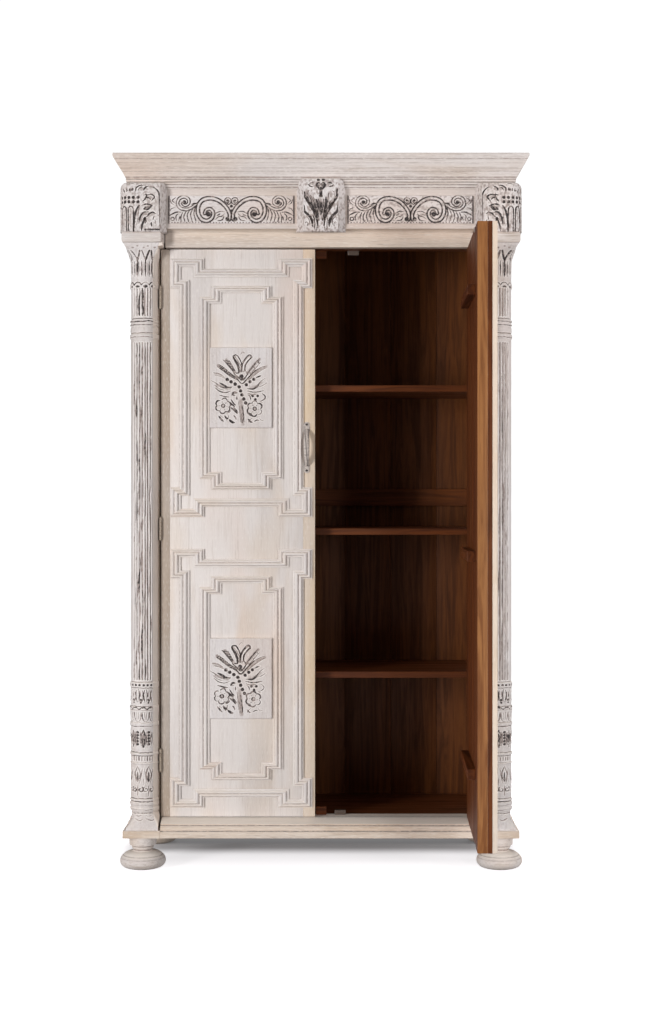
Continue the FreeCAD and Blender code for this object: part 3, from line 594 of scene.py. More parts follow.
def carve_plaque(face):
    """Flower spray: tulip, feathers crossing in a V, beads, wings, two flowers and a stem."""
    face.tendril(face.line((-19, 90), (-11, 76), (-4, 62), (-4, 50)), 6, 1.6, 1.6, 0.5)
    face.tendril(face.line((27, 92), (17, 80), (9, 66), (8, 52)), 6, 1.6, 1.6, 0.5)
    face.strokes(2.0, [
        ((-14, 44), (-6.5, 45), (-8, 59), (-14, 74), (-23, 91), (-19, 98), (-11, 97), (-5, 89), (1, 76),
         (3, 62), (2, 47)),
        ((3, 62), (8, 79), (20, 95), (28, 99), (33, 92), (24, 83), (14, 69), (13, 54), (19, 44)),
        ((-22, 91), (-12, 78), (-6, 64), (-5, 50)),
    ], (0.1, 0.3), (2.9, 1.0))
    face.strokes(1.0, [(2.6, 0.4, (-1, 100), (5, 107), (12, 104))])
    # Feathers: glazed between two dark edges, with barbs and a dark tip
    for glaze, dark, barbs, first, second in (
        (0.45, 0.95, 5, ((-53, 84), (-40, 70), (-28, 55), (-22, 47)),
         ((-35, 83), (-28, 70), (-20, 55), (-16, 49))),
        (0.50, 1.0, 9, ((-70, 63), (-52, 50), (-34, 36), (-12, 23)),
         ((-66, 71), (-50, 59), (-30, 42), (-10, 30))),
        (0.42, 0.8, 3, ((20, 43), (34, 61), (48, 78), (56, 86)), ((28, 40), (43, 57), (60, 77))),
        (0.36, 0.55, 0, ((20, 27), (42, 48), (60, 60), (76, 66)), ((26, 24), (46, 41), (62, 52), (76, 60))),
        (0.20, 0.55, 0, ((-82, 45), (-66, 42), (-50, 33)), ((-78, 37), (-62, 34), (-46, 27))),
    ):
        first, second = face.line(*first), face.line(*second)
        face.glaze((first[::2] + second[::2]) / 2 if len(first) == len(second) else first, 13, glaze)
        face.cut(first, 2.6, 1.6, dark, (0.3, 0.5))
        face.cut(second, 2.2, 1.4, 0.85 * dark, (0.5, 0.5))
        for share in np.linspace(0.06, 0.8, barbs):
            a = first[int(share * (len(first) - 1))]
            b = second[int(min(share + 0.10, 1) * (len(second) - 1))]
            face.cut([a, b], 2.3, 1.2, dark, (0.0, 0.3))
    face.strokes(2.4, [((-30, 40), (-10, 24), (4, 12), (20, 27), (34, 42), (45, 52)),
                       ((-22, 44), (-7, 31), (4, 21.5), (13, 30), (22, 43))], (0.4, 0.4), (3.0, 1.0))
    face.drill([(2, 34)], 3.6)
    face.drill([(4, 26)], 2.2)
    face.drill([(-41, 24.5), (-29.5, 17.5), (-17, 10.5), (-5, 2), (-0.5, -10), (3.5, -22), (9, -34.5),
                (15, -46.5)], 3.0, 2.6)
    face.drill([(39.5, 25), (28, 17.5), (17, 8.5)], 2.8, 2.4)
    face.strokes(1.8, [(2.8, 1.0, (46, 29), (53, 33), (62, 36))])
    # Wings
    face.glaze(face.line((-72, 8), (-56, 2), (-36, -4)), 16, 0.28)
    face.glaze(face.line((30, 0), (48, 4), (62, 16)), 16, 0.24)
    face.strokes(1.6, [
        (2.2, 0.8, (-90, 22), (-76, 14), (-60, 3), (-44, -1), (-25, 3)),
        (1.8, 0.6, (-80, 8), (-66, -3), (-48, -9)), (4.2, 1.0, (-66, 15), (-54, 9), (-40, 1), (-28, 0)),
        (2.6, 0.9, (-78, 0), (-64, -11), (-46, -15), (-29, -10)),
        (3.0, 0.95, (20, -3), (37, -4), (49, 3), (57, 14)), (3.0, 1.0, (18, -10), (43, -14), (70, -9)),
        (2.0, 0.6, (40, 2), (52, 8), (62, 20), (76, 30)), (1.8, 0.5, (54, 2), (66, 6), (80, 15)),
        (2.2, 0.7, (20, -17), (34, -21), (50, -19)), (3.4, 1.0, (-66, -22), (-50, -27), (-35, -29)),
        (4.4, 1.0, (-27, -23), (-21, -15), (-11, -16)), (2.6, 0.9, (-24, -24), (-17, -23)),
        (2.8, 0.95, (-12, -27), (-12, -37)), (2.4, 0.9, (21, -21), (28, -27), (30, -38)),
        (2.6, 0.95, (64, -18), (73, -25), (72, -34), (60, -41)), (2.0, 0.6, (56, -40), (66, -46)),
    ])
    # Two flowers: a ring at the heart, scalloped petals with a glaze inside their edge
    for u, v, petals in (
        (-53.5, -55, (15, 75, 150, 205, 265, 320)), (42, -64, (30, 90, 145, 205, 262, 325))
    ):
        centre = face.spots((u, v))[0]
        face.glaze([centre], 22, 0.32)
        face.ring(u, v, 5.2, 2.2, 1.8)
        for turn in petals:
            a = math.radians(turn)
            middle, root, out = ([centre[0] + reach * math.cos(a + by), centre[1] + reach * math.sin(a + by)]
                                 for reach, by in ((15, 0), (9, 0.5), (15, 0.5)))
            face.cut(arc(middle, 8.4, turn - 100, turn + 85), RNG.uniform(2.2, 3.2), 1.6, 0.95, (0.8, 0.5))
            face.cut([root, out], 1.5, 1.0, 0.7)
    face.drill([(36, -25), (51, -25), (44, -36)], 2.4, 2.0)
    # Leaves between the flowers and the foot, then the stem
    face.strokes(1.5, [
        (4.2, 1.0, (-38, -41), (-28, -50), (-18, -58)), (2.8, 1.0, (-30, -35), (-23, -46), (-15, -54)),
        (4.2, 1.0, (-31, -60), (-20, -68), (-11, -79)), (2.2, 0.9, (-24, -58), (-14, -67), (-8, -76)),
        (3.6, 0.9, (-67, -86), (-59, -96), (-52, -103)), (2.0, 0.6, (-62, -84), (-52, -92)),
        (4.2, 1.0, (-49, -84), (-44, -92), (-37, -94)), (2.2, 0.8, (-44, -100), (-38, -90), (-35, -82)),
        (4.2, 1.0, (-35, -97), (-27, -104), (-19, -106)), (2.6, 0.9, (-22, -84), (-16, -90), (-14, -97)),
        (2.4, 0.9, (-43, -78), (-34, -74), (-30, -68)), (3.6, 0.9, (22, -95), (28, -102), (35, -106)),
        (2.0, 0.7, (22, -106), (29, -96), (36, -92)), (2.8, 0.8, (40, -103), (49, -98), (56, -100)),
        (2.0, 0.5, (56, -92), (62, -99), (70, -98)), (3.0, 0.95, (18, -67), (22, -77), (31, -86)),
        (2.4, 0.8, (24, -58), (20, -66)), (2.2, 0.6, (-7, -42), (-3, -78), (0, -106)),
        (3.2, 0.8, (3, -52), (8, -80), (10, -104)), (2.4, 0.7, (-1, -66), (3, -88), (5, -108)),
    ])
    face.glaze(face.line((0, -40), (3, -72), (6, -110)), 19, 0.34)


def make_plaques(name, place, side, body, node):
    """Two plaques as one piece, like the CAD node that they stand for."""
    parts = []
    for centre_z, drift in zip(PANEL_HEIGHTS, ((-4.0, 1.5), (0.0, 0.0))):
        face = Carving(lines(-PLAQUE_HALF_WIDTH, PLAQUE_HALF_WIDTH, CARVING_STEP),
                       lines(-PLAQUE_HALF_HEIGHT, PLAQUE_HALF_HEIGHT, CARVING_STEP), weight=1.8, hand=0.25)
        face.mark(*drift)
        carve_plaque(face)
        face.worn(0.3)
        face.h = np.minimum(face.h - 1.6, -0.1)
        parts.append(face.slab(
            lambda u, v, h, z=centre_z: place(side * DOOR_CENTRE_X + u, PLAQUE_PROUD + h, z + v),
            PLAQUE_PROUD, PLAQUE_EDGE, (CARVING_STEP, 0.8, 0.9, 0.15)))
    make_piece(name, body, node, [CARVED_MANGO], parts, sharp=65)


DOORS = ((-1, "left_door", at_rest, LEFT_EDGE_X), (1, "right_door", on_open_door, RIGHT_EDGE_X))
for side, body, place, _ in DOORS:
    hand = body.replace("_door", "")
    panel_mouldings(body + "_eared_mouldings", EARED_OUTLINE, OUTER_STRIP, place, side, body,
                    hand + "_outer_mouldings")
    panel_mouldings(body + "_stepped_mouldings", STEPPED_OUTLINE, INNER_STRIP, place, side, body,
                    hand + "_inner_mouldings")
    make_plaques(body + "_carved_plaques", place, side, body, hand + "_plaques")


# Frieze panels

def carve_frieze(face):
    """Running scrolls, alike on both sides of the middle."""
    for way in (-1, 1):
        face.mark(way=way)
        # Combs of leaf behind the scrolls
        face.strokes(1.4, [
            ((104, 10), (112, -10), (106, -35)), ((114, 4), (122, -14), (117, -36)),
            ((124, 0), (132, -17), (128, -37)), ((134, -3), (142, -20), (139, -37)),
            ((145, -6), (151, -22), (150, -37)), ((102, 20), (108, 8), (112, -2)),
        ], (0.9, 0.3), (3.2, 0.85))
        # Upper volute and its stem
        face.tendril(face.line((98, 18), (110, 12), (122, 4), (136, 0), (152, 4), (161, 17), (156, 32),
                               (142, 38), (129, 31), (128, 19), (138, 12), (147, 18)), 4.6, 2.0, 2.4, 0.85)
        face.drill([(141, 22)], 4.4, 2.4)
        face.strokes(2.0, [(4.6, 1.0, (103, 17), (110, 18), (119, 15))])
        # Main scroll, from its bulb over the top and in to its eye
        face.tendril(face.line((6, -30), (5, -14), (12, 2), (26, 18), (45, 30), (67, 33.5), (88, 27), (99, 9),
                               (99, -12), (89, -29), (73, -34), (59, -26), (54, -11), (62, 1), (75, -1),
                               (80, -12)), 6.0, 2.6, 3.0, 1.0, (0.3, 0.5))
        face.drill([(69, -14)], 5.4, 2.8)
        face.ring(12, -29, 4.6, 3.4, 2.0)
        face.drill([(12, -29)], 2.4, 2.0, 0.7)
        # Small twin volutes over the middle
        turns = (250, -140) if way > 0 else (-70, 320)
        face.tendril(arc((way * 11.5, 26), (8.5, 3.0), *turns, 22), 3.2, 1.6, 2.2, 0.9)
        face.drill([(11.5, 27)], 2.6, 1.8)
        # Leaf inside the scroll
        face.strokes(1.4, [
            ((18, -8), (30, -5), (42, -9), (50, -14)), ((20, -12), (28, -20), (38, -22), (48, -30)),
            ((26, -28), (32, -33), (42, -33)), ((34, -12), (38, -16), (44, -18)),
            ((22, -18), (24, -26), (28, -34)),
        ], same=(2.8, 0.85))
        # Branch, ring and leaf strokes at the end
        face.strokes(1.5, [
            (3.6, 0.85, (150, -8), (164, -8), (176, -13), (186, -19)),
            (3.0, 0.85, (158, -12), (166, -20), (164, -34)),
            (2.8, 0.85, (166, 36), (177, 27), (168, 18)), (2.6, 0.85, (168, 6), (180, 2), (184, -6)),
            (2.6, 0.85, (172, 14), (180, 20), (184, 32)), (2.6, 0.85, (150, -26), (154, -22), (158, -34)),
        ])
        face.ring(176, -28, 5.0, 2.8, 1.4, 0.85)
        # Dark slit where the panel is let in
        face.strokes(3.0, [(4.0, 1.0, (187.5, -40), (187.5, 40))], (0, 0))
    face.drill([(0, 10)], 3.4, 2.0)
    face.drill([(0, 20)], 2.0, 1.4, 0.7)
    face.strokes(1.6, [(3.0, 0.9, (0, 2), (0, -22))])
    face.drill([(u, -39.0) for u in np.arange(-178, 179, 8.9)], 1.7, 1.0, 0.6)


FRIEZE_HALF_WIDTH = (FRIEZE_END - FRIEZE_START) / 2
FRIEZE_HALF_HEIGHT = (FRIEZE_PANEL_HIGH - FRIEZE_PANEL_LOW) / 2
for side, node in ((-1, "frieze_panel_left"), (1, "frieze_panel_right")):
    face = Carving(lines(-FRIEZE_HALF_WIDTH, FRIEZE_HALF_WIDTH, CARVING_STEP),
                   lines(-FRIEZE_HALF_HEIGHT, FRIEZE_HALF_HEIGHT, 1.2), weight=1.4)
    carve_frieze(face)
    # The right panel takes more wax than the left, so it is darker
    face.patina(0.27 + 0.07 * side, across=5, along=3)
    face.worn(0.25)
    face.h = np.minimum(face.h - 2.4, -0.1)
    middle_x = side * (FRIEZE_START + FRIEZE_HALF_WIDTH)
    slab = face.slab(lambda u, v, h: at_rest(middle_x + u, FRIEZE_AHEAD + FRIEZE_PANEL_PROUD + h,
                                             FRIEZE_PANEL_LOW + FRIEZE_HALF_HEIGHT + v),
                     FRIEZE_PANEL_PROUD, 3.0, (1.3, 0.9, 0.35, 0.30 + 0.06 * side))
    make_piece(node + "_scrolls", "cabinet", node, [limed_mango("x", "carved")],
               [slab], sharp=65)


# Consoles: the plan line runs round the block, and the side profile swells with the height

def console_reach(v, height):
    """How far a console stands out from the frieze at a height."""
    widest = height * CONSOLE_WIDEST_SHARE
    low = np.clip((widest - v) / widest, 0, 1)
    high = np.clip((v - widest) / (height - widest), 0, 1)
    swell = CONSOLE_FOOT + (CONSOLE_REACH - CONSOLE_FOOT) * (1 - low ** 2) ** 0.5
    crown = CONSOLE_TOP + (CONSOLE_REACH - CONSOLE_TOP) * (1 - high ** 2) ** 0.5
    return np.where(v < widest, swell, crown)


def console(name, node, plan, height, carve, weight, rear, crowns, ground_wax_and_shade, side=1):
    """Carved console from its plan line, left to right seen from the front, and its height.

    rear is its back's distance ahead, and crowns how far its top is rounded over at its left and right end.
    """
    run, (plan_x, plan_ahead) = run_along(plan), np.transpose(plan)
    u_line, v_line = lines(0, run[-1], CARVING_STEP), lines(0, height, CARVING_STEP)
    face = Carving(u_line, v_line, weight)
    carve(face)
    face.patina(ground_wax_and_shade, across=3, along=5)
    face.worn(0.3)
    h = np.minimum(face.h - 1.8, -0.05)
    wax = weathered(h, face.wax, CARVING_STEP, 0.9, 0.8, 0.22)
    x, ahead = np.interp(u_line, run, plan_x), np.interp(u_line, run, plan_ahead)
    along_x, along_ahead = np.gradient(x, u_line), np.gradient(ahead, u_line)
    size = np.hypot(along_x, along_ahead)
    v = np.repeat(v_line[:, None], len(u_line), 1)
    share = console_reach(v, height) / CONSOLE_REACH
    front = np.where(ahead > FRIEZE_AHEAD, FRIEZE_AHEAD + (ahead - FRIEZE_AHEAD) * share, ahead + 0 * v)
    front_ahead = front + along_x / size * h
    over = np.clip((v - height) / max(crowns) + 1, 0, 1)
    inset = 1 - np.sqrt(1 - over ** 2)
    left, right = plan_x[0], plan_x[-1]
    front_x = np.clip(x - along_ahead / size * h, left + crowns[0] * inset, right - crowns[1] * inset)
    # Top, foot and back close the block
    rows_x = np.vstack([x, front_x, np.clip(x, left + crowns[0], right - crowns[1])])
    rows_ahead = np.vstack([np.minimum(front[0], rear), front_ahead, np.minimum(front_ahead[-1], rear)])
    points = at_rest(side * rows_x, rows_ahead, FRIEZE_FOOT + np.pad(v, ((1, 1), (0, 0)), "edge"))
    part = points, grid_faces(points, flip=side < 0), np.pad(wax, ((1, 1), (0, 0)), "edge")
    make_piece(name, "cabinet", node, [CARVED_MANGO], [part], sharp=65)


def carve_centre_console(face):
    """Heart over a stem, two heavy curved stems down to the foot, leaves and swirls beside them."""
    middle = face.u_line[-1] / 2
    for way in (-1, 1):
        face.mark(middle, way=way)
        face.strokes(2.0, [(3.0, 1.0, (21, 142), (27, 143.5), (34, 141))])
        face.strokes(1.8, [(2.8, 1.0, (37, 139), (33, 133), (24, 131))])
        face.glaze(face.spots((27, 109)), 28, 0.24)
        face.tendril(face.line((46, 100), (33, 84), (20, 62), (15, 34), (15, 6)), 6.5, 2.4, 1.6, 0.4)
        # Heart, filled dark towards its stem
        face.strokes(2.0, [(3.6, 1.0, (0, 138), (5, 143), (11, 141), (12, 134), (5, 125), (0, 121))])
        face.glaze(face.spots((6, 135)), 17, 0.74)
        # Heavy stem, broadest half way down
        top = 124 if way > 0 else 114
        face.strokes(3.0, [(5.6, 1.0, (49, top), (47.5, 104), (39, 88), (27, 73), (17, 59), (13, 40),
                            (9, 16))], (0.3, 0.6))
        width = 7.0 if way > 0 else 6.0
        face.strokes(3.0, [(width, 0.9, (40, 88), (29, 72), (19, 57), (14, 38))], (0.8, 0.6))
        face.glaze(face.line((26, 84), (17, 66), (10, 44)), 19, 0.50)
        face.strokes(1.6, [
            ((20, 93), (20, 82), (13, 64)), ((8, 94), (8, 78), (4, 58)), ((14, 90), (14, 76), (9, 56)),
            ((28, 88), (24, 74), (14, 54)), ((3, 86), (2, 70), (1, 48)), ((11, 66), (9, 50), (5, 30)),
        ], same=(2.6, 0.85))
        # Leaf and swirl at the foot
        face.strokes(2.4, [(5.4, 1.0, (51, 76), (48, 58), (38, 48), (30, 39), (26, 28), (25, 14))],
                     (0.5, 0.5))
        face.strokes(2.4, [(6.0 if way > 0 else 3.6, 1.0, (33, 42), (27, 32), (26, 22))])
        face.strokes(1.4, [
            (2.0, 0.6, (46, 56), (37, 50), (31, 40)),
            (2.0, 0.75, (50, 38), (43, 41), (36, 35), (34, 25), (37, 16)),
            (1.8, 0.8, (48, 24), (43, 27), (39, 22), (41, 15)),
        ])
        face.strokes(1.2, [(2.0, 0.5, (34, 120), (40, 112), (40, 98))])
    # Streaks the carver left between the stems, heavier on the left
    face.strokes(1.8, [
        (4.6, 1.0, (-14, 94), (-9, 76), (-3, 58)), (3.6, 0.95, (-3, 88), (1, 72), (4, 54)),
        (6.0, 1.0, (15, 99), (15, 78), (12, 56), (10, 32)), (4.4, 1.0, (-31, 84), (-22, 68), (-14, 52)),
        (3.4, 0.8, (-48, 112), (-40, 100), (-34, 88)), (2.6, 0.7, (-40, 110), (-32, 98), (-27, 88)),
        (2.4, 0.6, (-31, 106), (-26, 96), (-20, 86)), (2.4, 0.6, (-22, 100), (-18, 90)),
        (2.4, 0.6, (23, 112), (22, 98)), (3.2, 0.9, (-20, 78), (-14, 66), (-10, 54)),
        (2.4, 0.7, (-24, 46), (-20, 36), (-19, 24)), (2.2, 0.6, (3, 44), (4, 30)),
    ])
    face.glaze(face.line((-44, 112), (-34, 100), (-22, 88)), 24, 0.42)
    face.glaze(face.line((30, 116), (34, 100)), 16, 0.22)
    face.drill([(-7.6, 153), (7.6, 153)], 2.6, 1.8)
    face.strokes(2.6, [(5.8, 1.0, (0, 126), (0, 104))], (0, 0))
    face.strokes(2.2, [(4.4, 1.0, (-6, 103), (6, 103))])
    face.glaze(face.spots((0, 88), (0, 46)), 34, 0.42)


def corner_u(across):
    """Length along the corner console's line from its inner front edge, for a distance seen in front."""
    beyond = np.clip((across - CONSOLE_FLAT) / CONSOLE_ROUND, 0, 0.999)
    return np.minimum(across, CONSOLE_FLAT) + CONSOLE_ROUND * np.arcsin(beyond)


def carve_corner_console(face):
    """Rolled leaf, dotted rows, reeded arches and acanthus, wrapped round the corner."""
    side_end = face.u_line[-1]
    face.mark(CONSOLE_FLANK, bend=corner_u)
    # Rolled leaf over the top
    face.strokes(1.8, [
        (3.6, 1.0, (34, 131), (21, 130), (10, 122), (4, 112), (2, 98), (1, 60), (1, 8)),
        (3.6, 1.0, (73, 120), (72, 128), (62, 135), (49, 137)), (3.0, 0.9, (66, 120), (62, 127), (54, 130)),
        (4.0, 1.0, (49, 120), (46, 128), (36, 134)), (3.6, 1.0, (82, 128), (82, 119)),
        (3.2, 0.9, (92, 127), (93, 118)), (3.0, 0.9, (100, 124), (101, 116)),
        (3.0, 0.9, (108, 122), (109, 114)), (2.6, 0.6, (76, 140), (84, 142), (96, 140)),
    ])
    # Two dotted rows and the reeded arches under them, going on round the side
    for start in CONSOLE_FLANK + corner_u(66) + 14.0 * np.arange(9):
        if start < side_end - 4:
            face.mark(start)
            face.drill([(0, 99), (0, 86)], 3.1, 2.4)
            face.strokes(1.4, [(2.8, 0.9, (7, 127), (7, 117))])
    for start in CONSOLE_FLANK + corner_u(88) + 23.0 * np.arange(5):
        if start < side_end - 10:
            face.mark(start)
            face.strokes(2.0, [(3.2, 0.95, (-8, 2), (-8, 60), (-5, 70), (0, 73), (5, 70), (8, 60), (8, 2))],
                         (0, 0))
            face.strokes(0.8, [(2.0, 0.3, (0, 62), (0, 6))])
    face.mark(CONSOLE_FLANK, bend=corner_u)
    face.strokes(2.4, [(4.4, 1.0, (63, 75), (70, 64), (76, 46), (79, 22), (81, 2))], (0.3, 0.2))
    face.strokes(1.2, [(2.6, 0.6, (63, 75), (64, 60), (66, 40), (70, 20))])
    # Acanthus
    face.strokes(1.9, [
        (3.4, 0.95, (49, 106), (40, 107), (45, 95), (52, 87)),
        (3.4, 0.95, (40, 106), (27, 108), (17, 101), (23, 92), (27, 87)),
        (3.4, 0.9, (44, 98), (34, 98), (28, 92)), (3.6, 1.0, (54, 76), (40, 79), (23, 74)),
        (4.6, 1.0, (23, 74), (30, 70), (37, 64), (50, 64)), (3.0, 0.9, (50, 66), (40, 70), (32, 70)),
        (4.4, 1.0, (64, 22), (60, 41), (52, 53), (45, 56), (37, 55)),
        (4.2, 1.0, (57, 2), (54, 19), (47, 34), (42, 42)), (3.6, 1.0, (40, 41), (32, 51), (22, 55), (13, 50)),
        (4.4, 0.9, (48, 40), (44, 30), (46, 22)), (2.6, 0.6, (22, 33), (19, 44)),
        (2.4, 0.5, (16, 34), (14, 20)),
    ])
    # Thin wax at the side of the roll and between the leaves
    for width, dark, *points in (
        (5, 0.35, (84, 112), (70, 111), (58, 113)), (9, 0.24, (90, 66), (92, 20)),
        (7, 0.30, (62, 106), (56, 90)),
        (10, 0.30, (30, 128), (22, 132), (36, 138), (50, 141)), (9, 0.40, (58, 124), (48, 126), (38, 124)),
        (9, 0.30, (44, 100), (32, 102), (24, 97)), (10, 0.50, (44, 70), (32, 72)),
        (9, 0.45, (58, 30), (52, 46), (42, 50)), (10, 0.30, (38, 36), (28, 46), (18, 48)),
        (14, 0.24, (30, 20), (44, 16), (56, 10)), (8, 0.25, (8, 100), (6, 60)),
    ):
        face.glaze(face.line(*points), width, dark)
    face.strokes(2.2, [(4.0, 1.0, (27, 27), (26, 15))], (0.9, 0.2))
    face.drill([(46, 36)], 3.0, 1.8)
    face.mark(CONSOLE_FLANK)
    face.drill([(u, 5) for u in np.arange(4, 50, 5.2)], 1.9, 1.2, 0.85)


console("centre_console", "console_centre", [(-75, 50), (-52, 86), (52, 86), (75, 50)], 158.0,
        carve_centre_console, 1.95, FRIEZE_AHEAD, (26.0, 26.0), 0.40)
CORNER_PLAN = [(CONSOLE_INNER_X, 50), (478.6, CONSOLE_NOSE)] + [
    (CONSOLE_OUTER_X - CONSOLE_ROUND * (1 - math.sin(a)), CONSOLE_NOSE - CONSOLE_ROUND * (1 - math.cos(a)))
    for a in np.radians(np.linspace(0, 90, 13))] + [(CONSOLE_OUTER_X, COLUMN_BACK)]
# The right console's ground is darker than the left's: wax, and partly painted shade on that side
for side, hand, ground_wax_and_shade in ((1, "right", 0.40), (-1, "left", 0.32)):
    console("corner_" + hand + "_console", "console_corner_" + hand, CORNER_PLAN, 146.0, carve_corner_console,
            1.65, COLUMN_BACK, (6.0, 25.0), ground_wax_and_shade, side)


# Capital blocks between the columns and the corner consoles, lower and upper edges rounded over

CAPITAL_PLAN = [(470, 8), (480, CAPITAL_FRONT), (CAPITAL_OUTER_X, CAPITAL_FRONT),
                (CAPITAL_OUTER_X, COLUMN_BACK), (470, COLUMN_BACK)]
# (inset, height over the column)
CAPITAL_EDGES = ((6.0, 0.0), (2.6, 1.0), (0.8, 3.4), (0.0, 7.0), (0.0, 27.0), (0.6, 29.6), (2.2, 31.5))
for side, hand in ((1, "right"), (-1, "left")):
    corners = swept_lines(CAPITAL_PLAN, [(-inset, -inset) for inset, _ in CAPITAL_EDGES]).transpose(2, 1, 0)
    heights = COLUMN_HIGH + np.array(CAPITAL_EDGES)[:, 1:]
    points = at_rest(side * corners[0], np.maximum(corners[1], COLUMN_BACK), heights)
    part = points, grid_faces(points, True, flip=side > 0), 0
    make_piece(hand + "_capital", "cabinet", "capital_block_" + hand,
               [limed_mango("x", "streaked")], [part], sharp=40)


# Columns

# (height, share of the radius)
COLUMN_OUTLINE = (
    (116, 1.0), (120, 1.34), (160, 1.0), (166, 0.93), (170, 1.0), (178, 1.02), (182, 0.94), (188, 1.0),
    (194, 1.01), (198, 0.94), (203, 1.01), (208, 0.93), (214, 0.95), (250, 0.955), (300, 0.95), (310, 0.94),
    (314, 1.0), (318, 0.94), (336, 0.94), (339, 1.0), (345, 1.0), (348, 0.93), (356, 0.95), (418, 0.955),
    (424, 0.94), (428, 1.0), (435, 1.0), (438, 0.94), (478, 1.0), (484, 1.0), (488, 0.94), (540, 0.95),
    (545, 0.99), (555, 0.99), (559, 0.93), (580, 0.94), (1585, 0.94), (1591, 0.93), (1595, 0.99),
    (1605, 1.0), (1609, 0.91), (1614, 0.97), (1626, 0.96), (1631, 0.91), (1635, 1.0), (1641, 0.92),
    (1646, 1.0), (1653, 0.91), (1660, 0.93), (1742, 0.93), (1748, 0.98), (1756, 0.98), (1762, 0.95),
    (1774, 0.93), (1800, 0.94), (1826, 0.95), (1836, 0.99), (1848, 1.14), (1862, 1.36), (1878, 1.52),
)
# (height, width, wax) of the lines turned round the shaft
COLUMN_RINGS = (
    (1654, 3.0, 0.9), (1645, 2.8, 0.9), (1634, 3.0, 0.8), (1610, 3.2, 0.8), (1598, 2.6, 0.6), (559, 2.8, 0.7),
    (541, 2.6, 0.8), (486, 3.0, 0.8), (475, 2.4, 0.5), (437, 2.6, 0.7), (426, 2.8, 0.9), (347, 3.0, 0.9),
    (337, 3.0, 0.9), (317, 2.4, 0.5), (208, 2.8, 0.8), (199, 2.6, 0.9), (188, 2.2, 0.6), (175, 2.2, 0.6),
    (164, 2.6, 0.8),
)


def carve_flute(face, u, low, high, depth, strength):
    """Flute with wax in broken runs, heaviest near the outer side."""
    wander = [(u + RNG.normal(0, 0.6), z) for z in np.arange(low + 8, high, 60)]
    face.cut([(u, low), *wander, (u, high)], 3.7, depth, 0.0, (0, 0))
    z = low
    while z < high - 20:
        run = RNG.uniform(30, 130)
        dark = strength * min(1.0, RNG.uniform(0.15, 0.9) + (0.35 if 0 < u < 24 else 0.0))
        drift = RNG.uniform(-1.8, 1.8)
        end = min(z + run, high)
        bend = [(u + drift, z), (u + drift + RNG.uniform(-1.5, 1.5), (z + end) / 2), (u - drift, end)]
        face.cut(smooth(bend), RNG.uniform(2.0, 4.4), 0.5, dark)
        z += run * RNG.uniform(0.8, 1.3)


